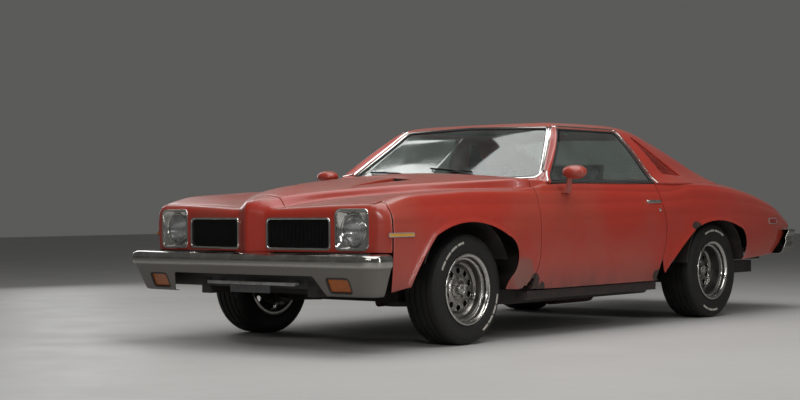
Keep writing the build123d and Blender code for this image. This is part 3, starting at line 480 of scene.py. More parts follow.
def extruded(name, outline, axis, low, high, edge, segments=2):
    """Prism with rounded edges from an outline in the plane across an axis."""
    first, second, third = PLANES[axis]
    rings = np.zeros((2, len(outline), 3))
    rings[:, :, [first, second]] = outline
    rings[:, :, third] = [[low], [high]]
    return bevel(ring_stack(name, rings), edge, segments)


def join(name, parts):
    """Joins pieces into one, in order."""
    bm = bmesh.new()
    for part in parts:
        bm.from_mesh(part.data)
    mesh = bpy.data.meshes.new(name)
    bm.to_mesh(mesh)
    bm.free()
    for part in parts:
        bpy.data.objects.remove(part)
    return add_object(name, mesh)


def mirrored(obj, name):
    """The other side's copy of a piece."""
    mesh = obj.data.copy()
    mesh.transform(Matrix.Scale(-1, 4, (1, 0, 0)))
    mesh.flip_normals()
    return add_object(name, mesh)


def both_sides(obj):
    """A left-hand piece joined with its mirror image."""
    name = obj.name
    return join(name, [obj, mirrored(obj, name + "_other")])


def rounded_box(x, z, radius, steps=6):
    """Rounded rectangle between limits, anticlockwise."""
    return round_outline([(x[0], z[0]), (x[1], z[0]), (x[1], z[1]), (x[0], z[1])], radius, steps)


# Body surface

# m is the widest line, k an upper crease between m and the crest, given by its height and how far it
# stands out of the straight line, c the crest, s the foot of the raised centre and t its top edge.
Station = namedtuple("Station", "y b m k c s t ridge")
STATIONS = (
    Station(-2560, (885, 553), (930, 700), (752, 9, 8), (850, 800), (92, 788), (4, 816), 816),
    Station(-2400, (905, 553), (940, 718), (768, 10, 8), (872, 818), (160, 802), (124, 850), 868),
    Station(-2345, (921, 332), (943, 717), (772, 10, 8), (877, 832), (184, 814), (155, 864), 886),
    Station(-2150, (922, 330), (948, 716), (796, 8, 14), (885, 872), (278, 846), (262, 892), 930),
    Station(-1860, (926, 325), (950, 712), (812, 5, 60), (893, 887), (420, 872), (402, 918), 956),
    Station(-1624, (930, 320), (952, 708), (815, 5, 80), (900, 898), (549, 892), (530, 936), 977),
    Station(-985, (938, 300), (968, 704), (815, 6, 80), (918, 900), (888, 914), (877, 966), 1018),
    Station(-880, (940, 298), (969, 706), (815, 6, 80), (922, 900), (895, 935), (882, 960), 1018),
    Station(-300, (940, 296), (970, 716), (815, 6, 80), (928, 898), (895, 948), (885, 955), 955),
    Station(450, (940, 298), (970, 744), (825, 5, 80), (930, 888), (895, 948), (885, 955), 955),
    Station(893, (936, 310), (958, 742), (845, 6, 80), (925, 930), (880, 950), (860, 955), 955),
    Station(1221, (930, 340), (948, 736), (840, 7, 80), (920, 918), (850, 948), (800, 955), 955),
    Station(1560, (925, 370), (938, 728), (820, 8, 70), (905, 890), (780, 935), (730, 948), 952),
    Station(2141, (872, 430), (890, 700), (760, 8, 50), (850, 795), (720, 850), (690, 866), 880),
    Station(2520, (795, 470), (812, 620), (648, 6, 30), (780, 672), (700, 715), (660, 728), 760),
)
STATION_Y = np.array([row.y for row in STATIONS], float)
STATION_ROWS = [np.hstack(row[1:]) for row in STATIONS]
# Places of b, m, k, c, s, t and the centre line along the section's own scale
KNOT_V = np.array([0.0, 420.0, 530.0, 620.0, 1000.0, 1060.0, 1500.0])
V_CREST, V_FOOT, V_TOP, V_CENTRE = KNOT_V[3:]
# How far each stretch bulges, how far from each point its corner starts, and how the middle is softened
CROWN = np.array([7.0, 3.0, 3.0, 5.0, 0.0, 5.0])
TRIM = np.array([0, 60, 0, 34, 9, 14, 0.0])
MIDDLE_SOFT, MIDDLE_SINK = 60, 4

REAR_AXLE_Y, FRONT_AXLE_Y = 1221, -1624


def arch_line(axle, rows):
    """Wheel opening in side view from three arcs."""
    parts = [arc_points(*[(axle + y, z) for y, z in row]) for row in rows]
    return np.vstack([parts[0], parts[1][1:], parts[2][1:]])


FRONT_ARCH = arch_line(FRONT_AXLE_Y, (
    ((-640, 200), (-510, 470), (-372, 640)),
    ((-372, 640), (-40, 712), (290, 628)),
    ((290, 628), (392, 505), (330, 380)),
))
REAR_ARCH = arch_line(REAR_AXLE_Y, (
    ((-900, 240), (-640, 470), (-383, 640)),
    ((-383, 640), (-60, 690), (245, 642)),
    ((245, 642), (360, 540), (290, 400)),
))


def to_the_right(vectors):
    """Directions in a plane turned a quarter to the right."""
    return vectors[..., ::-1] * (1, -1)


def body_section(params):
    """Point (x, z) of the body for (y, v) pairs."""
    y, v = params[:, 0], np.clip(params[:, 1], 0, 2 * V_CENTRE)
    folded = np.where(v > V_CENTRE, 2 * V_CENTRE - v, v)
    rows = smooth_rows(STATION_Y, STATION_ROWS, y)
    b, m, k, c, s, t, ridge = np.split(rows, (2, 4, 7, 9, 11, 13), axis=1)
    share = (k[:, :1] - m[:, 1:]) / (c[:, 1:] - m[:, 1:])
    crease = m + (c - m) * share + to_the_right(unit(c - m)) * k[:, 1:2]
    points = np.stack([b, m, crease, c, s, t, ridge * (0, 1)], 1)
    trims = np.tile(TRIM, (len(y), 1))
    trims[:, 2] = k[:, 2]
    result = rounded_walk(points, trims, KNOT_V, folded)
    segment, local = span_of(KNOT_V, folded)
    index = np.arange(len(y))
    edge = points[index, segment + 1] - points[index, segment]
    bulge = CROWN[segment] * 4 * local * (1 - local)
    result = result + to_the_right(unit(edge)) * bulge[:, None]
    soften = np.clip((V_CENTRE - folded) / MIDDLE_SOFT, 0, 1)
    result[:, 1] -= (1 - soften) ** 2 * MIDDLE_SINK
    result[:, 0] *= np.where(v > V_CENTRE, -1, 1)
    return result


FLARE_LIP, FLARE_LIP_WIDTH = 9, 26
FLARE_SWELL, FLARE_SWELL_WIDTH = 10, 95
FLARE_FADE = 200


def body_surface(params):
    """Point in space of the body for (y, v) pairs, with the wheel openings' flared lips."""
    x, z = body_section(params).T
    points = np.stack([x, params[:, 0], z], 1)
    low = (params[:, 1] < V_CREST) & (params[:, 1] > -1)
    if low.any():
        side_view = points[low, 1:]
        gap = np.minimum(distance_to(side_view, FRONT_ARCH, False), distance_to(side_view, REAR_ARCH, False))
        lip = FLARE_LIP * ease(1 - gap / FLARE_LIP_WIDTH)
        swell = FLARE_SWELL * np.exp(-((gap / FLARE_SWELL_WIDTH) ** 2))
        points[low, 0] += (lip + swell) * np.clip((V_CREST - params[low, 1]) / FLARE_FADE, 0, 1)
    return points


def side_to_param(outline):
    """(y, z) points of a side view as (y, v) on the body."""
    y, z = np.asarray(outline, float).T
    return pairs(y, bisect(lambda v: body_section(pairs(y, v))[:, 1], z, 0, V_TOP, True))


def plan_to_param(outline):
    """(x, y) points of a plan view as (y, v) on top of the body."""
    x, y = np.asarray(outline, float).T
    v = bisect(lambda v: body_section(pairs(y, v))[:, 0], np.abs(x), V_CREST - 20, V_CENTRE, False)
    return pairs(y, np.where(x < 0, 2 * V_CENTRE - v, v))


GAP = 6
DOOR_FRONT_Y, DOOR_REAR_Y, DOOR_BOTTOM_Z = -990, 452, 297


def door_side(gap):
    """Side view of the door, grown by a gap."""
    return np.array([
        (DOOR_FRONT_Y - gap, 480),
        (DOOR_FRONT_Y - 72 - 2 * gap, DOOR_BOTTOM_Z - gap),
        (DOOR_REAR_Y - 118, DOOR_BOTTOM_Z - gap),
        (DOOR_REAR_Y - 45 + gap, 440),
        (DOOR_REAR_Y + gap, 560),
        (DOOR_REAR_Y + gap, 660),
        (DOOR_REAR_Y - 38 + gap, 800),
        (DOOR_REAR_Y - 50 + gap, 920),
    ])


PANEL_PITCH = 16
BODY_ROWS = np.concatenate([
    np.linspace(12, 330, 16), np.linspace(345, 490, 14), np.linspace(500, 560, 8), np.linspace(570, 660, 12),
    np.linspace(690, 950, 10), np.linspace(975, 1090, 16), np.linspace(1120, V_CENTRE, 12),
])
BODY_ROWS_FULL = np.concatenate([BODY_ROWS, 2 * V_CENTRE - BODY_ROWS[-2::-1]])


def body_panel(name, outline, full=False, thickness=1.6, holes=()):
    """One body panel from its outline in (y, v)."""
    columns = np.arange(outline[:, 0].min() + PANEL_PITCH / 2, outline[:, 0].max(), PANEL_PITCH)
    sheet(
        name, body_surface, outline, holes, spacing=PANEL_PITCH, thickness=thickness, edge=1.2,
        rows=BODY_ROWS_FULL if full else BODY_ROWS, columns=columns,
    )


# Body panels

HOOD_FRONT_Y = -2385
hood_plan = np.array([
    (846, HOOD_FRONT_Y + 4), (890, -1000), (600, -972), (0, -948), (-600, -972), (-890, -1000),
    (-846, HOOD_FRONT_Y + 4), (0, HOOD_FRONT_Y),
])
DUCT_X = 300
DUCT_SIDE = [(14, -1960), (30, -1800), (54, -1640), (72, -1500)]
DUCT_FRONT_Y, DUCT_REAR_Y = DUCT_SIDE[0][1], DUCT_SIDE[-1][1]
duct_plan = np.array([(DUCT_X + x, y) for x, y in DUCT_SIDE] + [(DUCT_X - x, y) for x, y in DUCT_SIDE[::-1]])
duct_plan = round_outline(duct_plan, 7, 3)
duct_holes = [plan_to_param(resample(duct_plan * (side, 1), 14)) for side in (1, -1)]
body_panel("hood_skin", plan_to_param(resample(hood_plan, 16)), full=True, thickness=18, holes=duct_holes)


def duct_surface(params):
    """Floor of a hood duct, sinking toward its rear lip."""
    points = body_surface(params)
    points[:, 2] -= 3 + 15 * ease((params[:, 0] - DUCT_FRONT_Y) / (DUCT_REAR_Y - DUCT_FRONT_Y))
    return points


def duct_mouth(side):
    """Black box in the opening under a duct's rear lip, as painted shade."""
    xs = side * np.linspace(DUCT_X - 66, DUCT_X + 66, 9)
    tops = body_surface(plan_to_param([(x, DUCT_REAR_Y) for x in xs]))[:, 2]
    front, back = DUCT_REAR_Y - 5, DUCT_REAR_Y + 1
    rings = [
        [(x, front, top - 19), (x, front, top - 2), (x, back, top - 2), (x, back, top - 19)]
        for x, top in zip(xs, tops)
    ]
    return ring_stack("duct_mouth", rings)


join("duct_floors", [sheet("duct_floor", duct_surface, hole, spacing=12, thickness=2) for hole in duct_holes])
join("duct_mouths", [duct_mouth(side) for side in (1, -1)])

NOSE_SEAM_Y = -2340.0
fender_top = plan_to_param(resample([(851, NOSE_SEAM_Y), (895, -996)], 16, False))
front_edge = pairs(NOSE_SEAM_Y, np.linspace(fender_top[0, 1], 1, 8))
arch_in_range = FRONT_ARCH[FRONT_ARCH[:, 1] > 338]
arch_end = [(FRONT_AXLE_Y + 310, 336)]
# The corner behind the wheel has rusted through
rear_low = [
    (FRONT_AXLE_Y + 300, 312), (-1196, 305), (-1158, 309), (-1134, 328), (-1118, 321), (-1099, 344),
    (-1084, 350), (-1070, 371), (-1052, 362),
]
RUSTED_GAP = (-1042, 370)
fender_loop = np.vstack([
    fender_top[::-1],
    front_edge[1:-1],
    side_to_param([(NOSE_SEAM_Y, 336)]),
    side_to_param(arch_in_range),
    side_to_param(arch_end + rear_low),
    side_to_param(resample([RUSTED_GAP, door_side(GAP)[0]], 16, False)),
    side_to_param([(DOOR_FRONT_Y - GAP, z) for z in (560, 640, 720, 800, 860, 890)]),
])
body_panel("fender_skin_left", fender_loop)

door_loop = np.vstack([
    side_to_param(resample(door_side(0), 14, False)),
    [(DOOR_REAR_Y - 52, V_TOP - 8), (DOOR_FRONT_Y, V_TOP - 8)],
    side_to_param([(DOOR_FRONT_Y, z) for z in (890, 800, 720, 640, 560)]),
])
body_panel("door_skin_left", door_loop, thickness=56)

LID_FRONT_Y, LID_REAR_Y, LID_FRONT_X, LID_REAR_X = 1505, 2478, 690, 640
lid_side = np.array([(LID_FRONT_X, LID_FRONT_Y), (LID_REAR_X, LID_REAR_Y)])
lid_plan = np.vstack([lid_side, lid_side[::-1] * (-1, 1)])
body_panel("lid_skin", plan_to_param(resample(lid_plan, 16)), full=True, thickness=16)

TAIL_Y = 2504
quarter_top = plan_to_param(resample([(LID_FRONT_X + 5, LID_FRONT_Y), (LID_REAR_X + 5, TAIL_Y)], 16, False))
rear_arch_in_range = REAR_ARCH[REAR_ARCH[:, 1] > 400][::-1]
quarter_loop = np.vstack([
    [(DOOR_REAR_Y - 44, V_TOP), (LID_FRONT_Y, V_TOP)],
    quarter_top,
    side_to_param(resample([(TAIL_Y, 620), (2420, 606), (2100, 428)], 16, False)),
    side_to_param(resample([(2100, 428), (REAR_AXLE_Y + 291, 402)], 16, False)),
    side_to_param(rear_arch_in_range),
    side_to_param([(REAR_AXLE_Y - 728, 402), (REAR_AXLE_Y - 790, 345)]),
    side_to_param(resample(door_side(GAP)[3:], 14, False)),
])
body_panel("quarter_skin_left", quarter_loop)

# Nose, found by rays from inside: the plan curve and the body section meet in a soft edge

NOSE_BOTTOM_Z = 553
NOSE_PLAN = np.array([
    (109, -2482), (566, -2436), (826, -2425), (885, -2405), (925, -2380), (945, -2362), (1060, -2362),
])
NOSE_RADII = [60, 300, 120, 40, 40, 10, 0]
nose_line = np.vstack([NOSE_PLAN[::-1] * (-1, 1), [(0, -2540)], NOSE_PLAN])
nose_line = round_outline(nose_line, NOSE_RADII[::-1] + [26] + NOSE_RADII, 8, closed=False)
NOSE_EDGE = 52
# The rays start on a core inside the nose: straight ahead up to the pivot, then fanned round to the side
NOSE_CORE_Y = -2389
NOSE_PIVOT_X = 835
NOSE_FAN = 150
NOSE_ARC = 130
NOSE_SIDE = 41
NOSE_U = NOSE_PIVOT_X + NOSE_FAN + NOSE_SIDE
RAY_LENGTH = 260

section_y = np.linspace(-2560, -2320, 25)
section_v = np.concatenate([np.linspace(0, 600, 41), np.linspace(615, V_CENTRE + 60, 45)])
section_grid = np.array([body_section(pairs(y, section_v)) for y in section_y])
section_foot = section_grid[:, :1] - np.array([0, 400.0])
section_grid = np.concatenate([section_foot, section_grid], 1)


def signed_gap(points, lines):
    """Signed distance of points to lines, positive on the right of each line's direction."""
    a, b = lines[..., :-1, :], lines[..., 1:, :]
    d = b - a
    rel = points[:, None] - a
    t = np.clip(np.sum(rel * d, -1) / np.maximum(np.sum(d * d, -1), 1e-9), 0, 1)
    dist = np.linalg.norm(rel - d * t[..., None], axis=-1)
    nearest = np.argmin(dist, 1)
    turn = np.broadcast_to(d[..., 0] * rel[..., 1] - d[..., 1] * rel[..., 0], dist.shape)
    index = np.arange(len(points))
    return dist[index, nearest] * np.where(turn[index, nearest] > 0, -1, 1)


def nose_gap(points):
    """Soft signed distance from the nose's surface, positive outside. points are at x >= 0."""
    at = np.clip((points[:, 1] - section_y[0]) / (section_y[1] - section_y[0]), 0, len(section_y) - 1.001)
    cell = at.astype(int)
    share = (at - cell)[:, None, None]
    lines = section_grid[cell] * (1 - share) + section_grid[cell + 1] * share
    body = signed_gap(points[:, [0, 2]], lines)
    plan = signed_gap(points[:, :2], nose_line)
    soft = np.maximum(NOSE_EDGE - np.abs(body - plan), 0) / NOSE_EDGE
    return np.maximum(body, plan) + soft**2 * NOSE_EDGE / 4


def nose_rise(u):
    """Length of the straight wall above the nose's bottom before the rays turn upward."""
    return 189 + 50 * ease((np.abs(u) - 570) / 30)


def nose_surface(params):
    """Point of the nose for (u along the front from the middle, v up the wall and over the top)."""
    u, v = np.abs(params[:, 0]), params[:, 1]
    turn = np.clip((u - NOSE_PIVOT_X) / NOSE_FAN, 0, 1) * math.pi / 2
    rise = nose_rise(u)
    tilt = np.clip((v - rise) / NOSE_ARC, 0, 1) * math.pi / 2
    start = np.stack([
        np.minimum(u, NOSE_PIVOT_X),
        NOSE_CORE_Y + 4 * np.minimum(u / 846, 1) + np.maximum(u - NOSE_PIVOT_X - NOSE_FAN, 0),
        NOSE_BOTTOM_Z + np.minimum(v, rise),
    ], 1)
    ray = np.stack([np.sin(turn) * np.cos(tilt), -np.cos(turn) * np.cos(tilt), np.sin(tilt)], 1)
    near, far = np.zeros(len(u)), np.full(len(u), float(RAY_LENGTH))
    for _ in range(19):
        mid = (near + far) / 2
        within = nose_gap(start + ray * mid[:, None]) < 0
        near = np.where(within, mid, near)
        far = np.where(within, far, mid)
    points = start + ray * near[:, None]
    points[:, 0] *= np.where(params[:, 0] < 0, -1, 1)
    return points


GRILLE_X, GRILLE_Z = (121, 554), (574, 734)
LAMP_X, LAMP_Z, LAMP_R = (604, 826), (569, 786), 30
LAMP_CENTRE = (714, 677)


def nose_params(front_view):
    """(u, v) of points of the front view (x, z) on the nose's front face."""
    return np.asarray(front_view, float) - (0, NOSE_BOTTOM_Z)


GRILLE_LOOP = nose_params(rounded_box(GRILLE_X, GRILLE_Z, 18))
LAMP_LOOP = nose_params(rounded_box(LAMP_X, LAMP_Z, LAMP_R))
nose_u = np.concatenate([np.linspace(0, NOSE_PIVOT_X, 56), np.linspace(NOSE_PIVOT_X, NOSE_U, 14)[1:]])
fan_share = np.clip((nose_u - NOSE_PIVOT_X) / NOSE_FAN, 0, 1)
top_line = pairs(nose_u, nose_rise(nose_u) + NOSE_ARC * (1 - 0.42 * fan_share))
nose_outline = np.vstack([[(-NOSE_U, 0), (NOSE_U, 0)], top_line[::-1], top_line[1:] * (-1, 1)])
openings = [loop * (side, 1) for side in (1, -1) for loop in (GRILLE_LOOP, LAMP_LOOP)]
sheet("nose_skin", nose_surface, nose_outline, openings, spacing=11, thickness=9, edge=1.5)

# Greenhouse: rings of points at several heights, from the windshield's middle round to the rear window's

Tier = namedtuple("Tier", "up z w0 w a d q s r0")
TIERS = (
    Tier(0, 955, -940, (800, -780), (886, -850), (893, -100), (882, 700), (720, 1490), 1400),
    Tier(260, 1215, -578, (641, -471), (735, -515), (741, -100), (725, 560), (590, 925), 850),
    Tier(365, 1312, -437, (582, -358), (640, -385), (650, -100), (640, 430), (540, 640), 590),
    Tier(400, 1332, -380, (545, -318), (585, -335), (596, -90), (590, 395), (500, 545), 500),
    Tier(450, 1344, -318, (480, -265), (515, -270), (530, -80), (525, 350), (440, 450), 420),
    Tier(530, 1350, -245, (380, -205), (420, -190), (430, -60), (430, 290), (350, 350), 330),
    Tier(680, 1353, -150, (190, -120), (220, -105), (230, 0), (230, 200), (180, 230), 240),
    Tier(860, 1354, -60, (0, -50), (0, -40), (0, 60), (0, 130), (0, 150), 160),
)
TIER_UP = np.array([t.up for t in TIERS], float)
TIER_ROWS = [np.hstack(t[1:]) for t in TIERS]
# Places of w0, w, a, d, q, s and r0 round the ring
RING = np.array([0.0, 700.0, 820.0, 1500.0, 2200.0, 2850.0, 3450.0])
RING_END = RING[-1]
UP_TOP = TIER_UP[-1]
RING_TRIM = np.array([0, 34, 26, 200, 230, 70, 0])
# How far the windshield and the rear window bow out, as a share of their half width
SHIELD_BOW, BACK_BOW = 0.07, 0.10
# The foot flares outward onto the body, most on the sail panel
FLARE_HEIGHT, FLARE_OUT = 60, 22
SAIL_FLARE_HEIGHT, SAIL_FLARE_OUT = 130, 60


def house_surface(params):
    """Point of the cabin top for (place round the ring, place up the tiers)."""
    rise = params[:, 1]
    ring = np.clip(params[:, 0], 0, RING_END)
    rows = smooth_rows(TIER_UP, TIER_ROWS, rise)
    z, w0, w, a, d, q, s, r0 = np.split(rows, (1, 2, 4, 6, 8, 10, 12), axis=1)
    points = np.stack([w0 * (0, 1), w, a, d, q, s, r0 * (0, 1)], 1)
    flat = rounded_walk(points, RING_TRIM, RING, ring)
    segment, local = span_of(RING, ring)
    index = np.arange(len(rise))
    edge = points[index, segment + 1] - points[index, segment]
    out = to_the_right(unit(edge))
    bow = np.select([segment == 0, segment == 5], [SHIELD_BOW, BACK_BOW]) * local * (1 - local)
    share = ease((ring - 1900) / 500) * (1 - ease((ring - 3000) / 200))
    height = FLARE_HEIGHT + (SAIL_FLARE_HEIGHT - FLARE_HEIGHT) * share
    reach = FLARE_OUT + (SAIL_FLARE_OUT - FLARE_OUT) * share
    low = np.clip(1 - rise / height, 0, 1) ** 2.2 * reach * np.clip((ring - 760) / 60, 0, 1)
    x, y = (flat + out * (bow * np.linalg.norm(edge, axis=1) + low)[:, None]).T
    return np.stack([x, y, z[:, 0] - 6 * low / reach], 1)


def rise_of(z):
    """Place up the tiers of a height below the roof's edge."""
    return bisect(lambda up: smooth_rows(TIER_UP, TIER_ROWS, up)[:, 0], z, 0, 530, True)


def front_to_house(view, rear=False):
    """(x, z) points of the front or rear view as places on the cabin top."""
    x, z = np.asarray(view, float).T
    rise = rise_of(z)
    low, high = (RING[4], RING_END) if rear else (0, RING[2])
    return pairs(bisect(lambda ring: house_surface(pairs(ring, rise))[:, 0], x, low, high, not rear), rise)


def side_to_house(view):
    """(y, z) points of the side view as places on the cabin top."""
    y, z = np.asarray(view, float).T
    rise = rise_of(z)
    ring = bisect(lambda ring: house_surface(pairs(ring, rise))[:, 1], y, RING[1] + 40, RING[5], True)
    return pairs(ring, rise)


WINDSHIELD_VIEW = [(0, 968), (778, 985), (575, 1302), (0, 1316)]
BACK_LIGHT_VIEW = [(0, 985), (610, 985), (520, 1268), (0, 1280)]
SIDE_VIEW = [(-812, 940), (-392, 1296), (272, 1292), (408, 940)]
GLASS_VIEW = [(-795, 946), (-370, 1288), (264, 1284), (398, 946)]
LOUVRE_VIEW = [(445, 1262), (480, 1262), (880, 1000), (600, 1012)]


def half_loop(view, rear=False, spacing=20):
    """Right half of a window whose view starts and ends on the middle line, as places on the cabin top."""
    line = round_outline(view, [0, 26, 26, 0], 5, closed=False)
    return front_to_house(resample(line, spacing, False), rear)


def side_walk(view, radii, spacing=16):
    """Rounded line of the side view as places on the cabin top."""
    return side_to_house(resample(round_outline(view, radii, 5, closed=False), spacing, False))


windshield_loop = half_loop(WINDSHIELD_VIEW)
back_light_loop = half_loop(BACK_LIGHT_VIEW, True)
louvre_loop = side_to_house(resample(round_outline(LOUVRE_VIEW, 12, 4), 16))
# The side window is cut in from the roof's foot, the others from the middle line
side_notch = side_walk(SIDE_VIEW, [0, 30, 40, 0], 20)[::-1]
side_notch[[0, -1], 1] = 0
roof_outline = np.vstack([
    [(0, 0)], windshield_loop, [(0, UP_TOP), (RING_END, UP_TOP)], back_light_loop[::-1], [(RING_END, 0)],
    side_notch,
])
half_sheet("roof_skin", house_surface, roof_outline, [louvre_loop], spacing=18, thickness=16, edge=1.5)
windshield_pane = half_loop([(0, 962), (786, 978), (582, 1308), (0, 1322)])
half_sheet("windshield_glass", house_surface, windshield_pane, spacing=30, thickness=5, lift=-5)
back_pane = half_loop([(0, 979), (618, 979), (527, 1275), (0, 1287)], True)
half_sheet("rear_window_glass", house_surface, back_pane, spacing=30, thickness=5, lift=-5)
door_pane = side_to_house(resample(GLASS_VIEW, 24))
sheet("door_glass_pane_left", house_surface, door_pane, spacing=26, thickness=5, lift=-7)


# Bumpers: a plan curve carried down a profile, whose rows give how far it moves in sideways and lengthways

FRONT_BAR_END_Y = -2400
FRONT_BAR_FRONT_Y = -2634
BAR_CORNER_X, BAR_CORNER_Y, BAR_CORNER_R = 897, -2490, 90
BAR_ARC = BAR_CORNER_R * math.pi / 2
FRONT_BAR_P = BAR_CORNER_X + BAR_ARC + FRONT_BAR_END_Y - BAR_CORNER_Y
BAR_HALF = BAR_CORNER_X + BAR_CORNER_R
FRONT_BAR_PROFILE = np.array([
    (84, 100, 546), (30, 36, 547), (6, 8, 537), (0, 0, 524), (0, 0, 503), (2, 2, 480), (9, 10, 472),
    (14, 17, 465), (58, 90, 328), (66, 102, 315), (84, 124, 313),
])
FRONT_BAR_TRIMS = (0, 10, 8, 6, 5, 4, 3, 3, 8, 5, 0)


def front_bar_plan(p):
    """Plan point of the front bumper's outer line; p is x on the straight part."""
    a = np.abs(p)
    turn = np.clip((a - BAR_CORNER_X) / BAR_ARC, 0, 1) * math.pi / 2
    x = np.where(a < BAR_CORNER_X, a, BAR_CORNER_X + BAR_CORNER_R * np.sin(turn))
    side_y = BAR_CORNER_Y - BAR_CORNER_R
    middle = 1 - (np.minimum(a, BAR_CORNER_X) / BAR_CORNER_X) ** 2
    y = side_y - (side_y - FRONT_BAR_FRONT_Y) * middle + BAR_CORNER_R * (1 - np.cos(turn))
    return pairs(x * np.sign(p + TINY), y + np.maximum(a - BAR_CORNER_X - BAR_ARC, 0))


def profile_rows(profile, trims, w):
    """Rounded rows of a bumper's profile at places along it."""
    knots = run_along(profile)
    w = np.clip(w, 0, knots[-1])
    (across, _), (along, z) = (
        rounded_walk(np.tile(profile[:, pair], (len(w), 1, 1)), trims, knots, w).T
        for pair in ((0, 2), (1, 2))
    )
    return across, along, z


def front_bar_surface(params):
    """Point of the front bumper for (place along the plan, place down the profile)."""
    across, back, z = profile_rows(FRONT_BAR_PROFILE, FRONT_BAR_TRIMS, params[:, 1])
    x, y = front_bar_plan(params[:, 0]).T
    reach = 1 - back / (FRONT_BAR_END_Y - FRONT_BAR_FRONT_Y)
    return np.stack([x * (1 - across / BAR_HALF), FRONT_BAR_END_Y + (y - FRONT_BAR_END_Y) * reach, z], 1)


front_knots = run_along(FRONT_BAR_PROFILE)


def front_bar_place(view):
    """(x, z) points of the front view as places on the bumper's front."""
    def rows(w):
        return profile_rows(FRONT_BAR_PROFILE, FRONT_BAR_TRIMS, w)

    x, z = np.asarray(view, float).T
    w = bisect(lambda w: rows(w)[2], z, front_knots[1], front_knots[9], False)
    across = rows(w)[0]
    return pairs(x / (1 - across / BAR_HALF), w)


NOTCH = [(-610, 318), (-556, 425), (556, 425), (610, 318)]
TURN_X, TURN_Z = (644, 800), (332, 416)
notch_place = front_bar_place(resample(round_outline(NOTCH, 22, 5, closed=False), 14, False))[::-1]
bar_bottom = front_knots[-1]
front_bar_outline = np.vstack([
    [(-FRONT_BAR_P, 0), (FRONT_BAR_P, 0), (FRONT_BAR_P, bar_bottom), (notch_place[0, 0] + 4, bar_bottom)],
    notch_place,
    [(notch_place[-1, 0] - 4, bar_bottom), (-FRONT_BAR_P, bar_bottom)],
])
turn_holes = [front_bar_place(rounded_box(TURN_X, TURN_Z, 20)) * (side, 1) for side in (1, -1)]
bar_rows = [a + (b - a) * np.array((0.12, 0.5, 0.88)) for a, b in zip(front_knots[:7], front_knots[1:8])]
bar_rows.append(np.linspace(front_knots[7] + 4, front_knots[8] - 4, 10))
bar_rows.append(np.linspace(front_knots[8] + 3, front_knots[10] - 3, 5))
sheet(
    "front_bumper_bar", front_bar_surface, front_bar_outline, turn_holes, spacing=16, thickness=4, flip=True,
    edge=1.2, rows=np.concatenate(bar_rows),
)

REAR_BAR_PROFILE = np.array([
    (60, 64, 610), (10, 12, 611), (0, 0, 600), (6, 12, 572), (10, 20, 540), (0, 14, 520), (0, 44, 440),
    (8, 60, 425), (60, 120, 422),
])
REAR_BAR_TRIMS = (0, 8, 8, 12, 10, 6, 12, 8, 0)
REAR_BAR_PLAN = [(915, 2330), (905, 2450), (868, 2520), (770, 2548), (400, 2612), (0, 2634)]
REAR_BAR_RADII = [0, 60, 50, 90, 500]
rear_line = REAR_BAR_PLAN + [(-x, y) for x, y in REAR_BAR_PLAN[-2::-1]]
rear_line = round_outline(rear_line, REAR_BAR_RADII + [900] + REAR_BAR_RADII[::-1], 8, closed=False)
rear_run = run_along(rear_line)
rear_bottom = run_along(REAR_BAR_PROFILE)[-1]


def rear_bar_surface(params):
    """Point of the rear bumper for (place along the plan, place down the profile)."""
    across, forward_by, z = profile_rows(REAR_BAR_PROFILE, REAR_BAR_TRIMS, params[:, 1])
    x, y = (np.interp(params[:, 0], rear_run, column) for column in rear_line.T)
    lean = 90 * np.clip((610 - z) / 185, 0, 1) * np.clip((2560 - y) / 230, 0, 1)
    return np.stack([x * (1 - across / 915), y - forward_by - lean, z], 1)


rear_end = rear_run[-1]
sheet(
    "rear_bumper_bar", rear_bar_surface, [(0, 0), (rear_end, 0), (rear_end, rear_bottom), (0, rear_bottom)],
    spacing=18, thickness=4, flip=True, edge=1.2, rows=np.linspace(4, rear_bottom - 4, 26),
)

# Rocker below the door, rusted ragged along its lower edge
rocker_y = np.arange(-1086, 386, 13.0)
rocker_low = 243 + 6 * np.sin(rocker_y * 0.021) + 4 * np.sin(rocker_y * 0.083 + 1)
rocker_low += 3 * np.sin(rocker_y * 0.31)
rocker_view = np.vstack([pairs(rocker_y, rocker_low), [(rocker_y[-1], 290), (rocker_y[0], 290)]])


def rocker_surface(params):
    """Slightly rounded wall of the rocker for (y, z)."""
    y, z = params.T
    return np.stack([921 - 10 * ease((262 - z) / 40), y, z], 1)


both_sides(sheet("rocker_cover", rocker_surface, rocker_view, spacing=13, thickness=3))

# Wheels and tyres

Wheel = namedtuple("Wheel", "end place side centre half radius recess")
AXLES = (("front", 782, FRONT_AXLE_Y, 322, 118, 76), ("rear", 757, REAR_AXLE_Y, 335, 128, 112))
WHEELS = [
    Wheel(end, end + "_" + name, side, (side * x, y, radius), half, radius, recess)
    for end, x, y, radius, half, recess in AXLES
    for name, side in (("left", 1), ("right", -1))
]
TREAD_GROOVES = (62, 22, -22, -62)
LUG_DEPTH = 5


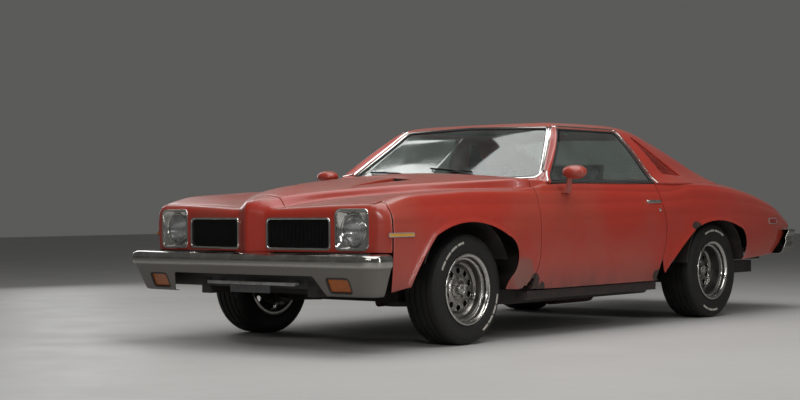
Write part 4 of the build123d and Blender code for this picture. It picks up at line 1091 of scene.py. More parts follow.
def tyre_mesh(name, wheel):
    """Tyre with bulging walls, rim guard and grooved tread."""
    hw, radius = wheel.half, wheel.radius
    wall = [
        (hw - 20, 190), (hw - 14, 204), (hw - 11, 210), (hw - 10, 216), (hw - 4, 228),
        (hw, (208 + radius) / 2 + 2), (hw - 1, radius - 38), (hw - 8, radius - 20), (hw - 18, radius - 7),
        (hw - 34, radius - 1.5),
    ]
    wall = round_outline(wall, [0, 3, 2, 3, 12, 26, 16, 12, 12, 0], 4, closed=False)
    tread = []
    for groove in TREAD_GROOVES:
        tread += [(groove + x, radius - depth) for x, depth in ((5, 0), (4, 6), (-4, 6), (-5, 0))]
    profile = [*wall, *tread, *(wall[::-1] * (-1, 1)), (20 - hw, 184), (hw - 20, 184)]
    obj = lathe(name, profile, wheel.centre, wheel.side, 168)
    hub = Vector(wheel.centre) * MM
    for index, vert in enumerate(obj.data.vertices):
        ring, place = divmod(index, len(profile))
        across, r = profile[place]
        if r > radius - 3 and across < -30 and ring % 6 in (0, 1):
            away = (vert.co - hub) * ((r - LUG_DEPTH) / r)
            vert.co = (vert.co.x, hub.y + away.y, hub.z + away.z)
    return obj


# Plain bars on the tyre wall, each 12 degrees long, by their starts in degrees
BAR_STARTS = {"front": (100, 114, 128, 142, -62, -48, -34, -20), "rear": (60, 74, 88, 102, -120, -106, -92)}
BAR_PROFILE = [(-7, 0), (-6, 1.6), (6, 1.6), (7, 0), (6, -2), (-6, -2)]


def sidewall_bars(name, wheel):
    """Plain raised white bars round the tyre's outer wall."""
    mid = (214 + wheel.radius) / 2 + 6
    parts = []
    for start in BAR_STARTS[wheel.end]:
        angles = np.radians(np.linspace(start, start + 12, 7))
        out = np.full(7, wheel.side * (wheel.half - 0.4))
        path = np.stack([out, mid * np.cos(angles), mid * np.sin(angles)], 1) + wheel.centre
        parts.append(sweep(name, path, [(wheel.side, 0, 0)] * 7, BAR_PROFILE))
    return join(name, parts)


def rim_depths(wheel):
    """Half width of the rim, and how far out its dished face lies."""
    return wheel.half - 4, wheel.half - 4 - wheel.recess


def rim_mesh(name, wheel):
    """Deep stepped steel rim."""
    hw, face = rim_depths(wheel)
    profile = [
        (hw - 1, 196), (hw + 1, 201), (hw, 207), (hw - 4, 209), (hw - 8, 207), (hw - 10, 191), (10 - hw, 191),
        (9 - hw, 207), (-hw, 208), (-hw, 184), (30 - hw, 180), (face - 40, 166), (face + 6, 164),
        (hw - 44, 166), (hw - 38, 172), (hw - 36, 181), (hw - 26, 184), (hw - 12, 185), (hw - 5, 189),
    ]
    profile = round_outline(profile, [2] * 10 + [6, 10, 8, 5, 3, 3, 4, 3, 2], 3)
    return lathe(name, profile, wheel.centre, wheel.side)


WHEEL_HOLES, HOLE_CIRCLE, HOLE_R = 10, 108, 19
DISC_R = 167
# Radius and height of the dish's steps
DISH = np.array([
    (0, 8), (34, 8), (44, 7), (60, 4), (74, 5), (84, 1), (96, 0), (120, 0), (132, -4), (142, -10), (152, -11),
    (162, -2), (168, 8),
], float)


def disc_mesh(name, wheel):
    """Dished wheel centre with ten round holes, thick steel."""
    face = rim_depths(wheel)[1]

    def dish(params):
        height = smooth_rows(DISH[:, 0], DISH[:, 1:], np.linalg.norm(params, axis=1))
        return np.hstack([wheel.side * (face + height), params]) + wheel.centre

    angles = 2 * math.pi * (np.arange(WHEEL_HOLES) + 0.5) / WHEEL_HOLES
    holes = [HOLE_CIRCLE * np.array((math.cos(a), math.sin(a))) + circle(24, HOLE_R) for a in angles]
    return sheet(
        name, dish, circle(72, DISC_R), holes, spacing=7, thickness=4, flip=wheel.side < 0, edge=1.2,
    )


def cap_mesh(name, wheel):
    """Centre cap with a bright ring, and five wheel nuts."""
    face = rim_depths(wheel)[1]
    profile = round_outline(
        [(face + 4, 36), (face + 26, 33), (face + 33, 30), (face + 33, 25), (face + 29, 22), (face + 31, 0.2),
         (face, 0.2), (face, 36)], [1, 3, 2, 2, 2, 0, 0, 0], 3,
    )
    parts = [lathe(name, profile, wheel.centre, wheel.side, 48)]
    nut = [(face, 10), (face + 14, 10), (face + 17, 7), (face + 22, 6.5), (face + 23, 0.2), (face, 0.2)]
    for k in range(5):
        a = 2 * math.pi * (k + 0.25) / 5
        at = np.add(wheel.centre, (0, 58 * math.cos(a), 58 * math.sin(a)))
        parts.append(lathe(name + "_nut", nut, at, wheel.side, 6))
    return join(name, parts)


for wheel in WHEELS:
    for maker, label in (
        (tyre_mesh, "tyre_tread_"), (rim_mesh, "rim_steel_"), (disc_mesh, "rim_disc_"),
        (cap_mesh, "rim_cap_"), (sidewall_bars, "tyre_bars_"),
    ):
        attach(maker(label + wheel.place, wheel), "wheel_" + wheel.place)


# Nose fittings: bright frames, fine grille, dished bezels and round lamps

FRAME_PROFILE = round_outline(
    [(-2, -10), (-2, 2), (1.5, 6), (9, 6.5), (12, 1), (12, -3)], [0, 1.5, 3, 4, 1, 0], 3
)
BEZEL_LIP = round_outline([(-3, -6), (-3, 3), (0, 5), (6, 5), (9, 1), (9, -3)], [0, 1.5, 2, 3, 1, 0], 3)
LENS_R = 88
LENS_FACE_Y = -2430
LENS_RIM_Y = -2406


def ray_reach(loop, centre, ray):
    """Distance from a centre to a convex outline along a ray."""
    a = loop - centre
    d = np.roll(loop, -1, axis=0) - loop
    cross = ray[0] * d[:, 1] - ray[1] * d[:, 0]
    with np.errstate(divide="ignore", invalid="ignore"):
        t = (a[:, 0] * d[:, 1] - a[:, 1] * d[:, 0]) / cross
        s = (a[:, 0] * ray[1] - a[:, 1] * ray[0]) / cross
    good = (t > 0) & (s >= -1e-6) & (s <= 1 + 1e-6)
    return t[good].max()


def lamp_bezel():
    """Dished square plate from the lamp opening down to the round lens."""
    loop = rounded_box((LAMP_X[0] + 1, LAMP_X[1] - 1), (LAMP_Z[0] + 1, LAMP_Z[1] - 1), LAMP_R - 1)
    rays = circle(120)
    outer = rays * np.array([[ray_reach(loop, LAMP_CENTRE, ray)] for ray in rays]) + LAMP_CENTRE
    inner = rays * (LENS_R + 5) + LAMP_CENTRE
    outer_y = nose_surface(nose_params(outer))[:, 1]
    rings = []
    for share, sink, blend in (
        (0, 4, 0), (0.14, 4, 0.05), (0.24, 8, 0.15), (0.6, 14, 0.6), (0.94, 20, 0.95), (1, 24, 1),
    ):
        x, z = (outer * (1 - share) + inner * share).T
        rings.append(np.stack([x, outer_y * (1 - blend) + LENS_FACE_Y * blend + sink, z], 1))
    rings += [ring + (0, 3, 0) for ring in rings[::-1]]
    return ring_stack("lamp_bezel", rings, loop=True)


retainer_rows = round_outline(
    [(LENS_RIM_Y + 6, LENS_R + 5), (LENS_RIM_Y - 6, LENS_R + 5), (LENS_RIM_Y - 8, LENS_R),
     (LENS_RIM_Y - 4, LENS_R - 5), (LENS_RIM_Y + 6, LENS_R - 4)], [0, 2, 3, 2, 0], 3,
)
both_sides(join("front_frames", [
    surface_strip("grille_frame", nose_surface, resample(GRILLE_LOOP, 9), FRAME_PROFILE, closed=True),
    surface_strip("bezel_lip", nose_surface, resample(LAMP_LOOP, 9), BEZEL_LIP, closed=True),
    lamp_bezel(),
    turned("lamp_retainer", retainer_rows, LAMP_CENTRE, loop=True),
]))

lens_rows = [
    (LENS_FACE_Y + (LENS_RIM_Y - LENS_FACE_Y) * (r / LENS_R) ** 2.2, r)
    for r in (LENS_R - 1, 84, 74, 62, 48, 32, 16, 0.5)
]
lens_back = [(y + 4, max(r - 1, 0.4)) for y, r in lens_rows[::-1]]
both_sides(turned("lamp_lens", lens_rows + lens_back, LAMP_CENTRE, loop=True))
bowl_rows = [(LENS_RIM_Y + 4, 85), (LENS_RIM_Y + 14, 82), (-2376, 66), (-2358, 40), (-2352, 14), (-2352, 2)]
bowl_back = [(y + 2, r + 1.5) for y, r in bowl_rows[::-1]]
both_sides(turned("lamp_reflector", bowl_rows + bowl_back, LAMP_CENTRE, loop=True))

INSERT_DEPTH = 26
FIN_PITCH = 9.5


def grille_fins():
    """Fine upright fins across a grille opening."""
    xs = np.arange(GRILLE_X[0] + 7, GRILLE_X[1] - 4, FIN_PITCH)
    face_y = nose_surface(nose_params([(x, 650) for x in xs]))[:, 1]
    verts, faces = [], []
    for x, y in zip(xs, face_y):
        faces += [tuple(len(verts) + i for i in f) for f in BOX_FACES]
        verts += [(x + i, y + j, k) for i in (-1.1, 1.1) for j in (8, INSERT_DEPTH - 2) for k in (577, 731)]
    return mesh_object("grille_fins", verts, faces)


grille_back = sheet("grille_back", nose_surface, GRILLE_LOOP, spacing=16, thickness=3, lift=-INSERT_DEPTH)
both_sides(join("grille_insert", [grille_back, grille_fins()]))

# Strip of paint below the beak
FOOT_LINE = [(4, -2537), (109, -2480), (140, -2476)]
both_sides(extruded("beak_foot", FOOT_LINE + [(x, y + 26) for x, y in FOOT_LINE[::-1]], "z", 541, 552, 2))

# Turn lamps in rimmed recesses of the bumper, and the bracket for a blank plate
turn_line = front_bar_place(resample(rounded_box(TURN_X, TURN_Z, 20), 8))
TURN_RIM = round_outline([(-7, -16), (-7, -3), (-4, 1.5), (1, 2.5), (4, 0.5), (4, -3)], [0, 2, 2, 2, 0, 0], 3)
both_sides(surface_strip("turn_lamp_rim", front_bar_surface, turn_line, TURN_RIM, True, True))
lens_line = front_bar_place(rounded_box((TURN_X[0] + 5, TURN_X[1] - 5), (TURN_Z[0] + 5, TURN_Z[1] - 5), 16))
both_sides(sheet(
    "turn_lamp_lens", front_bar_surface, lens_line, spacing=12, thickness=9, flip=True, lift=-7, edge=1.5,
))
BOLT_ROWS = [(-2514, 3), (-2514, 7), (-2508, 8), (-2500, 8), (-2500, 3)]
join("bracket_bar", [
    box_mesh("bracket_bar", (-350, 350), (-2508, -2492), (362, 380), 3),
    *(box_mesh("bracket_foot", x, (-2494, -2440), (364, 378), 2) for x in ((300, 330), (-330, -300))),
    *(turned("bracket_bolt", BOLT_ROWS, (x, 371), 6) for x in (-89, 89)),
])
box_mesh("plate_blank", (-160, 160), (-2507, -2500), (318, 361), 2)

# Side markers
MARKERS = (("front", (-2374, -2176), (640, 657), 5), ("rear", (2020, 2160), (656, 691), 6))
MARKER_RIM = [(-1.5, -2), (-1.5, 4), (0, 5), (2.5, 5), (4, 3.5), (4, -2)]
MARKER_RIM = round_outline(MARKER_RIM, [0, 1, 1, 1, 1, 0], 2)
rims = []
for end, y, z, radius in MARKERS:
    line = side_to_param(resample(rounded_box(y, z, radius), 12))
    both_sides(sheet(end + "_marker_lens", body_surface, line, spacing=12, thickness=6, lift=4, edge=1.5))
    rims.append(surface_strip("marker_rim", body_surface, line, MARKER_RIM, closed=True))
both_sides(join("marker_rims", rims))


# Door handle, lock and mirror
def body_x(y, z):
    """Half width of the body at a place of the side view."""
    return body_surface(side_to_param([(y, z)]))[0, 0]


HANDLE_Y, HANDLE_Z = (228, 402), (805, 835)
LOCK_Y, LOCK_Z = 371, 767
handle_x = body_x(sum(HANDLE_Y) / 2, sum(HANDLE_Z) / 2)
handle_grip = rounded_box((HANDLE_Y[0] + 12, HANDLE_Y[1] - 10), (HANDLE_Z[0] + 11, HANDLE_Z[1] - 4), 6, 3)
LOCK_ROWS = [(-6, 12), (2, 12), (4, 10), (4, 6), (2.5, 5), (2.5, 0.2), (-6, 0.2)]
join("door_hardware_left", [
    extruded("door_handle", rounded_box(HANDLE_Y, HANDLE_Z, 12, 4), "x", handle_x - 10, handle_x + 3, 2),
    extruded("handle_grip", handle_grip, "x", handle_x + 2, handle_x + 11, 3),
    lathe("door_lock", LOCK_ROWS, (body_x(LOCK_Y, LOCK_Z), LOCK_Y, LOCK_Z), 1, 32),
])

MIRROR_AT = (1030, 1008)
MIRROR_ROWS = (
    (-798, 5), (-796, 20), (-791, 36), (-783, 51), (-772, 64), (-759, 73), (-744, 77.5), (-726, 78),
    (-712, 77.5), (-707, 76), (-706, 73), (-710, 72), (-716, 71), (-716, 4),
)
MIRROR_GLASS_ROWS = [(-717, 2), (-717, 69), (-712, 69), (-711, 68), (-711, 2)]
# Centre and half widths of the stalk's level rings
STALK_ROWS = (
    ((938, -695, 878), (20, 42)), ((944, -696, 892), (22, 41)), ((960, -700, 908), (16, 32)),
    ((978, -714, 940), (10, 24)), ((992, -728, 966), (11, 24)), ((998, -734, 982), (14, 27)),
)
stalk_rings = [np.hstack([circle(32) * half, np.zeros((32, 1))]) + centre for centre, half in STALK_ROWS]
join("mirror_shell_left", [
    turned("mirror_shell", MIRROR_ROWS, MIRROR_AT, 48, stretch=(1, 0.55)),
    ring_stack("mirror_stalk", stalk_rings),
])
turned("mirror_glass_left", MIRROR_GLASS_ROWS, MIRROR_AT, 48, stretch=(1, 0.53))

# Black fillers between the bumpers and the body
FRONT_FILLER = [
    (-850, 551), (-850, 470), (-740, 440), (-720, 345), (720, 345), (740, 440), (850, 470), (850, 551),
]
REAR_FILLER = [(-790, 640), (-790, 470), (790, 470), (790, 640)]
extruded("front_filler", FRONT_FILLER, "y", -2436, -2430, 1)
extruded("rear_filler", REAR_FILLER, "y", 2430, 2436, 1)

# Window trim on the cabin top

TRIM_SHAPE = np.array([(0, -3), (0, 1), (0.12, 0.75), (0.5, 1), (0.88, 0.75), (1, 0.2), (1, -3)])
RUBBER = round_outline([(-7, -8), (-7, -1), (-5, 1.5), (4, 1.5), (6, -1), (6, -8)], [0, 2, 2, 2, 2, 0], 2)
CABIN_CENTRE = (0, 200, 900)


def whole_loop(half):
    """Closed line round a centred window from its left half's places, with the surface's normals."""
    points = house_surface(half)
    normals = surface_normals(house_surface, half, 2)
    middle = len(half) // 2
    if normals[middle] @ (points[middle] - CABIN_CENTRE) < 0:
        normals = -normals
    points[0, 0] = points[-1, 0] = 0
    return [np.vstack([rows, rows[-2:0:-1] * (-1, 1, 1)]) for rows in (points, normals)]


def window_trim(name, half, side_width, top_width, height, sign):
    """Domed bright strip round a window, wide on its sides and narrow along the top."""
    path, normals = whole_loop(half)
    steep = np.clip((path[:, 2] - 1270) / 40, 0, 1)
    low = np.clip((1010 - path[:, 2]) / 20, 0, 1)
    width = side_width + (top_width - side_width) * np.maximum(steep, low)
    profile = np.tile(TRIM_SHAPE, (len(path), 1, 1))
    profile[:, :, 0] *= sign * width[:, None]
    profile[:, 1:-1, 1] *= height
    return sweep(name, path, normals, profile, closed=True)


shield_trim_line = half_loop([(0, 965), (781, 982), (577, 1304), (0, 1318)])
window_trim("windshield_trim", shield_trim_line, 25, 14, 5, 1)
sweep("windshield_rubber", *whole_loop(windshield_loop), RUBBER, closed=True)
back_trim_line = half_loop([(0, 982), (613, 982), (523, 1270), (0, 1283)], True)
window_trim("rear_window_trim", back_trim_line, 12, 9, 4, -1)
sweep("rear_window_rubber", *whole_loop(back_light_loop), RUBBER, closed=True)


def side_trim_line(view, radii):
    """Line of the side view on the cabin top, with the surface's outward normals."""
    line = side_walk(view, radii)
    normals = surface_normals(house_surface, line, 2)
    return house_surface(line), normals * np.where(normals[:, :1] < 0, -1, 1)


# Side window seals: black rubber all round, thick behind, with a bright drip strip outside it
SEAL_VIEW = [(SIDE_VIEW[0][0] + 12, 957), *SIDE_VIEW[1:3], (SIDE_VIEW[3][0] - 6, 957)]
SEAL_SHAPE = [(-1, -14), (-1, -2), (-0.6, 1.5), (0.7, 1.5), (1, -2), (1, -14)]
seal_points, seal_normals = side_trim_line(SEAL_VIEW, [0, 30, 40, 0])
seal_rows = np.tile(SEAL_SHAPE, (len(seal_points), 1, 1))
seal_rows[:, :, 0] *= 7 + 7 * ease((seal_points[:, 1:2] - 200) / 80)
both_sides(sweep("side_window_seal", seal_points, seal_normals, seal_rows))
DRIP_VIEW = [(-842, 950), (-404, 1311), (288, 1307), (432, 950)]
DRIP = round_outline([(-6, -5), (-6, 4), (-3, 7), (3, 7), (6, 4), (6, -5)], [0, 1, 2, 2, 1, 0], 2)
both_sides(sweep("side_window_strip", *side_trim_line(DRIP_VIEW, [0, 34, 44, 0]), DRIP))

# Belt strip along the top of the door, and the rubber that wipes its glass
BELT = [(-9, -6), (-9, 5), (-6, 9), (4, 9), (8, 5), (8, -6)]
WIPE = [(-5, -4), (-5, 6), (-2, 9), (3, 9), (5, 6), (5, -4)]
belt_y = np.linspace(-800, DOOR_REAR_Y - 60, 70)
for name, v, profile in (("belt_strip_left", V_FOOT + 4, BELT), ("belt_rubber_left", V_TOP - 14, WIPE)):
    surface_strip(name, body_surface, pairs(belt_y, v), round_outline(profile, [0, 2, 2, 2, 2, 0], 2))

# Louvres: a sunk plate and blades along the panel's rear edge, each standing out at its lower side
LOUVRE_TOP, LOUVRE_TAIL, LOUVRE_FRONT = np.array([(462, 1262), (872, 1001), (604, 1012)], float)
LOUVRE_INWARD = to_the_right(unit(LOUVRE_TAIL - LOUVRE_TOP))
LOUVRE_COUNT, LOUVRE_PITCH, LOUVRE_WIDTH = 5, 24, 13
LOUVRE_START = 12


def louvre_view(near, far):
    """Strip between two distances from the rear edge, inside the louvre panel's triangle."""
    reach = (LOUVRE_FRONT - LOUVRE_TOP) @ LOUVRE_INWARD
    corners = []
    for depth, order in ((near, 1), (far, -1)):
        ends = [end + (LOUVRE_FRONT - end) * depth / reach for end in (LOUVRE_TOP, LOUVRE_TAIL)]
        corners += ends[::order]
    return corners


def blade_surface(params):
    """Cabin top with blades that lean out along their lower edge."""
    points = house_surface(params)
    depth = (points[:, 1:] - LOUVRE_TOP) @ LOUVRE_INWARD
    lean = ((depth - LOUVRE_START) % LOUVRE_PITCH) / LOUVRE_WIDTH
    points[:, 0] -= 9 - 7 * np.clip(lean, 0, 1)
    return points


blades = []
for near in LOUVRE_START + LOUVRE_PITCH * np.arange(LOUVRE_COUNT):
    view = resample(louvre_view(near + 0.2, near + LOUVRE_WIDTH), 10)
    blades.append(sheet("louvre_blade", blade_surface, side_to_house(view), spacing=9, thickness=5))
both_sides(join("louvre_blades", blades))
# The sunk plate is black as painted shade behind and between the blades
plate_line = side_to_house(resample(LOUVRE_VIEW, 18))
both_sides(sheet("louvre_plate", house_surface, plate_line, spacing=16, thickness=4, lift=-17))

# Wipers parked low on the windshield: heel, tip and pivot of each
WIPERS = (((300, 1016), (-40, 1044), (345, 985)), ((-300, 1016), (-640, 1030), (-255, 985)))
BLADE = [(-4, 0), (-3, 9), (0, 12), (3, 9), (4, 0), (0, -2)]
ARM = [(-5, 10), (-5, 15), (0, 17), (5, 15), (5, 10)]


def on_shield(points):
    """Places on the windshield of (x, z) points, given for either side, and the normals there."""
    places = front_to_house(np.abs(points[:, :1]) * (1, 0) + points * (0, 1))
    normals = surface_normals(house_surface, places, 2)
    normals *= np.where(normals[:, 1:2] > 0, -1, 1)
    turn = np.where(points[:, :1] < 0, -1, 1) * (1, 0, 0) + (0, 1, 1)
    return house_surface(places) * turn, normals * turn


wiper_parts = []
for heel, tip, pivot in WIPERS:
    wiper_parts.append(sweep("wiper_blade", *on_shield(np.linspace(heel, tip, 24)), BLADE))
    middle = np.add(heel, tip) / 2
    wiper_parts.append(sweep("wiper_arm", *on_shield(np.linspace(pivot, middle, 16)), ARM))
join("wipers", wiper_parts)

# Materials: each is a node tree on object coordinates, in metres along the car

def put(tree, kind, inputs=None, **settings):
    """Adds a shader node, with values or links for its inputs."""
    node = tree.nodes.new("ShaderNode" + kind)
    for key, value in settings.items():
        setattr(node, key, value)
    for key, value in (inputs or {}).items():
        if isinstance(value, bpy.types.NodeSocket):
            tree.links.new(value, node.inputs[key])
        else:
            node.inputs[key].default_value = value
    return node


def place(tree, output="Object"):
    """The surface's own coordinates or normal."""
    return put(tree, "TexCoord").outputs[output]


def noise(tree, scale, detail=4.0, rough=0.55, stretch=None):
    """Noise value from 0 to 1."""
    vector = place(tree)
    if stretch:
        vector = put(tree, "Mapping", {"Vector": vector, "Scale": stretch}).outputs[0]
    inputs = {"Vector": vector, "Scale": scale, "Detail": detail, "Roughness": rough}
    return put(tree, "TexNoise", inputs).outputs["Fac"]


def ribs(tree, scale):
    """Even upright bands across the car."""
    inputs = {"Vector": place(tree), "Scale": scale, "Distortion": 0.0}
    return put(tree, "TexWave", inputs, bands_direction="X").outputs[1]


def band(tree, value, low, high, start=0.0, end=1.0):
    """Smooth step of a value between two levels."""
    inputs = {"Value": value, "From Min": low, "From Max": high, "To Min": start, "To Max": end}
    return put(tree, "MapRange", inputs, interpolation_type="SMOOTHSTEP").outputs[0]


def calc(tree, operation, a, b=0.0, c=0.0):
    """One sum on values."""
    return put(tree, "Math", {0: a, 1: b, 2: c}, operation=operation).outputs[0]


def blend(tree, share, a, b):
    """Mixes two colours."""
    node = put(tree, "Mix", {0: share}, data_type="RGBA")
    for index, colour in ((6, a), (7, b)):
        if isinstance(colour, bpy.types.NodeSocket):
            tree.links.new(colour, node.inputs[index])
        else:
            node.inputs[index].default_value = (*colour, 1)
    return node.outputs[2]


def spot(tree, centre, reach, rough_edge=0.4):
    """Ragged patch round a place: 1 inside, 0 outside."""
    away = put(tree, "VectorMath", {0: place(tree), 1: centre}, operation="SUBTRACT").outputs[0]
    inputs = {0: away, 1: tuple(1 / r for r in reach)}
    scaled = put(tree, "VectorMath", inputs, operation="MULTIPLY").outputs[0]
    distance = put(tree, "VectorMath", {0: scaled}, operation="LENGTH").outputs["Value"]
    ragged = calc(tree, "MULTIPLY_ADD", noise(tree, 26, 6, 0.7), rough_edge * 2, -rough_edge)
    return band(tree, calc(tree, "ADD", distance, ragged), 1.06, 0.94)


def bump(tree, height, distance, strength=1.0):
    """Small relief from a height value."""
    return put(tree, "Bump", {"Height": height, "Distance": distance, "Strength": strength}).outputs[0]


def shader(name):
    """A new material with its tree and shader."""
    material = bpy.data.materials.new(name)
    material.use_nodes = True
    return material, material.node_tree, material.node_tree.nodes["Principled BSDF"]


def fill(tree, principled, **values):
    """Sets or links the shader's sockets, given by their names with underscores."""
    for key, value in values.items():
        socket = principled.inputs[key.replace("_", " ")]
        if isinstance(value, bpy.types.NodeSocket):
            tree.links.new(value, socket)
        elif isinstance(value, tuple) and len(value) == 3:
            socket.default_value = (*value, 1)
        else:
            socket.default_value = value


PAINT = (0.35, 0.024, 0.012)
PAINT_FADED = (0.33, 0.044, 0.026)
PAINT_DUST = (0.22, 0.105, 0.08)
ROAD_DIRT = (0.055, 0.02, 0.014)
# Rust tones, darkened to near black: real rust, and painted shade of the torn hole behind the front wheel
RUST_AND_HOLE_SHADE = (0.045, 0.016, 0.008)
BLACK_RUST_AND_HOLE_SHADE = (0.006, 0.004, 0.0035)
PRIMER = (0.15, 0.075, 0.058)
# Patches of rust and bare filler: centre and reach along x, y and z, in metres
RUST_SPOTS = (
    ((0.95, -1.035, 0.335), (0.2, 0.045, 0.06)),
    ((0.95, 0.365, 0.325), (0.2, 0.07, 0.045)),
    ((0.96, 0.845, 0.655), (0.2, 0.055, 0.03)),
    ((0.95, -0.96, 0.31), (0.2, 0.03, 0.03)),
)
FILLER_SPOTS = (((0.95, -1.16, 0.40), (0.25, 0.10, 0.10)), ((0.94, 0.56, 0.36), (0.25, 0.09, 0.08)))


def paint_material():
    """Faded orange-red enamel with dust on top, dirt low down, and rust along the bottom edges, darkened near
    black as painted shade of a torn hole.
    """
    material, tree, principled = shader("faded_red_paint")
    coordinates = put(tree, "SeparateXYZ", {0: place(tree)}).outputs
    facing = put(tree, "SeparateXYZ", {0: place(tree, "Normal")}).outputs[2]
    cloudy = noise(tree, 1.7, 3, 0.5)
    fine = noise(tree, 38, 5, 0.65)
    colour = blend(tree, band(tree, cloudy, 0.35, 0.68), PAINT, PAINT_FADED)
    mottled = calc(tree, "MULTIPLY", band(tree, noise(tree, 9, 8, 0.72), 0.5, 0.75), 0.16)
    colour = blend(tree, mottled, colour, PAINT_DUST)
    up = band(tree, facing, 0.6, 0.98)
    dusty = calc(tree, "MULTIPLY", up, band(tree, noise(tree, 3.1, 7, 0.66), 0.25, 0.75, 0.25, 0.8))
    colour = blend(tree, dusty, colour, PAINT_DUST)
    low = band(tree, coordinates[2], 0.50, 0.25)
    dirty = calc(tree, "MULTIPLY", low, band(tree, noise(tree, 6, 8, 0.7, (1, 1, 0.5)), 0.3, 0.7, 0.3, 0.8))
    colour = blend(tree, dirty, colour, ROAD_DIRT)
    for centre, reach in FILLER_SPOTS:
        patch = calc(tree, "MULTIPLY", spot(tree, centre, reach, 0.6), 0.6)
        colour = blend(tree, patch, colour, PRIMER)
    rusty = None
    for centre, reach in RUST_SPOTS:
        patch = spot(tree, centre, reach)
        rusty = patch if rusty is None else calc(tree, "MAXIMUM", rusty, patch)
    chips = band(tree, noise(tree, 55, 4, 0.6), 0.73, 0.76)
    chips = calc(tree, "MULTIPLY", chips, band(tree, coordinates[2], 0.75, 0.3, 0.12, 0.9))
    rusty = calc(tree, "MAXIMUM", rusty, chips)
    # Rust mixed with painted shade of the torn hole
    rust = blend(tree, band(tree, noise(tree, 60, 6, 0.7), 0.38, 0.62), BLACK_RUST_AND_HOLE_SHADE, RUST_AND_HOLE_SHADE)
    colour = blend(tree, rusty, colour, rust)
    dull = calc(tree, "MAXIMUM", dusty, dirty)
    rough = calc(tree, "MULTIPLY_ADD", dull, 0.26, band(tree, fine, 0.2, 0.9, 0.27, 0.4))
    rough = calc(tree, "MULTIPLY_ADD", rusty, 0.45, rough)
    pits = calc(tree, "MULTIPLY", noise(tree, 90, 4, 0.6), calc(tree, "MULTIPLY_ADD", rusty, 3.0, 0.12))
    waves = bump(tree, noise(tree, 2.7, 2, 0.4), 0.012, 0.5)
    inputs = {"Height": pits, "Distance": 0.0004, "Strength": 0.6, "Normal": waves}
    fill(tree, principled, Base_Color=colour, Roughness=rough, Normal=put(tree, "Bump", inputs).outputs[0],
         Metallic=0.0, Coat_Weight=0.3, Coat_Roughness=0.1)
    return material


def chrome_material(name, tint, rough_low, rough_high, grime, grime_amount, dull_below=None):
    """Old chrome or bright steel with haze, pits and grime, and duller below a height."""
    material, tree, principled = shader(name)
    haze = noise(tree, 5, 6, 0.65)
    fine = noise(tree, 120, 4, 0.6)
    dirt = calc(tree, "MULTIPLY", band(tree, noise(tree, 14, 8, 0.72), 0.42, 0.78), grime_amount)
    specks = band(tree, noise(tree, 170, 3, 0.5), 0.7, 0.76)
    dirt = calc(tree, "MAXIMUM", dirt, calc(tree, "MULTIPLY", specks, grime_amount))
    if dull_below:
        height = put(tree, "SeparateXYZ", {0: place(tree)}).outputs[2]
        low = band(tree, height, dull_below + 0.012, dull_below - 0.004, 0.0, 0.78)
        dirt = calc(tree, "MAXIMUM", dirt, low)
    colour = blend(tree, dirt, tint, grime)
    rough = calc(tree, "MULTIPLY_ADD", dirt, 0.5, band(tree, haze, 0.25, 0.75, rough_low, rough_high))
    metal = calc(tree, "SUBTRACT", 1.0, calc(tree, "MULTIPLY", dirt, 0.9))
    fill(tree, principled, Base_Color=colour, Roughness=rough, Metallic=metal,
         Normal=bump(tree, fine, 0.0001, 0.3))
    return material


def plain_material(name, colour, other, scale, rough, relief=0.0002, **extra):
    """A matt material with two mixed tones, uneven gloss and fine relief."""
    material, tree, principled = shader(name)
    tones = blend(tree, band(tree, noise(tree, scale, 5, 0.65), 0.3, 0.7), colour, other)
    gloss = band(tree, noise(tree, scale * 4, 4, 0.6), 0.25, 0.75, rough - 0.06, rough + 0.06)
    fill(tree, principled, Base_Color=tones, Roughness=gloss,
         Normal=bump(tree, noise(tree, scale * 18, 4, 0.6), relief, 0.7), **extra)
    return material


def tyre_material():
    """Black rubber browned by road dust, with a fine grain."""
    material, tree, principled = shader("tyre_rubber")
    dust = band(tree, noise(tree, 16, 7, 0.7), 0.35, 0.75, 0.03, 0.4)
    fill(tree, principled, Base_Color=blend(tree, dust, (0.006, 0.006, 0.006), (0.03, 0.026, 0.022)),
         Roughness=band(tree, dust, 0, 0.4, 0.55, 0.8), Specular_IOR_Level=0.3,
         Normal=bump(tree, noise(tree, 220, 3, 0.6), 0.0003, 0.5))
    return material


def glass_material(name, tint, rough=0.02):
    """Clear glass with a thin film of dust."""
    material, tree, principled = shader(name)
    film = band(tree, noise(tree, 3, 5, 0.6), 0.3, 0.8, 0.01, 0.07)
    fill(tree, principled, Base_Color=blend(tree, film, tint, (0.5, 0.47, 0.42)),
         Roughness=band(tree, film, 0, 0.07, rough, rough + 0.05), IOR=1.45,
         Transmission_Weight=calc(tree, "SUBTRACT", 1.0, calc(tree, "MULTIPLY", film, 0.7)))
    return material


def lamp_material():
    """Clear ribbed lamp glass."""
    material, tree, principled = shader("lamp_lens_glass")
    film = band(tree, noise(tree, 30, 6, 0.7), 0.35, 0.8, 0.0, 0.3)
    fill(tree, principled, Base_Color=blend(tree, film, (0.93, 0.95, 0.97), (0.55, 0.52, 0.46)),
         Roughness=band(tree, film, 0, 0.3, 0.04, 0.2), IOR=1.48, Transmission_Weight=0.94,
         Normal=bump(tree, ribs(tree, 34.0), 0.0012, 0.8))
    return material


def lens_material(name, colour, dirt):
    """Coloured plastic lens with ribs under a smooth face."""
    material, tree, principled = shader(name)
    dusty = band(tree, noise(tree, 40, 6, 0.7), 0.4, 0.8, 0.05, 0.5)
    fill(tree, principled, Base_Color=blend(tree, dusty, colour, dirt),
         Roughness=band(tree, dusty, 0, 0.5, 0.12, 0.4), Transmission_Weight=0.2,
         Normal=bump(tree, ribs(tree, 40.0), 0.0008, 0.6))
    return material


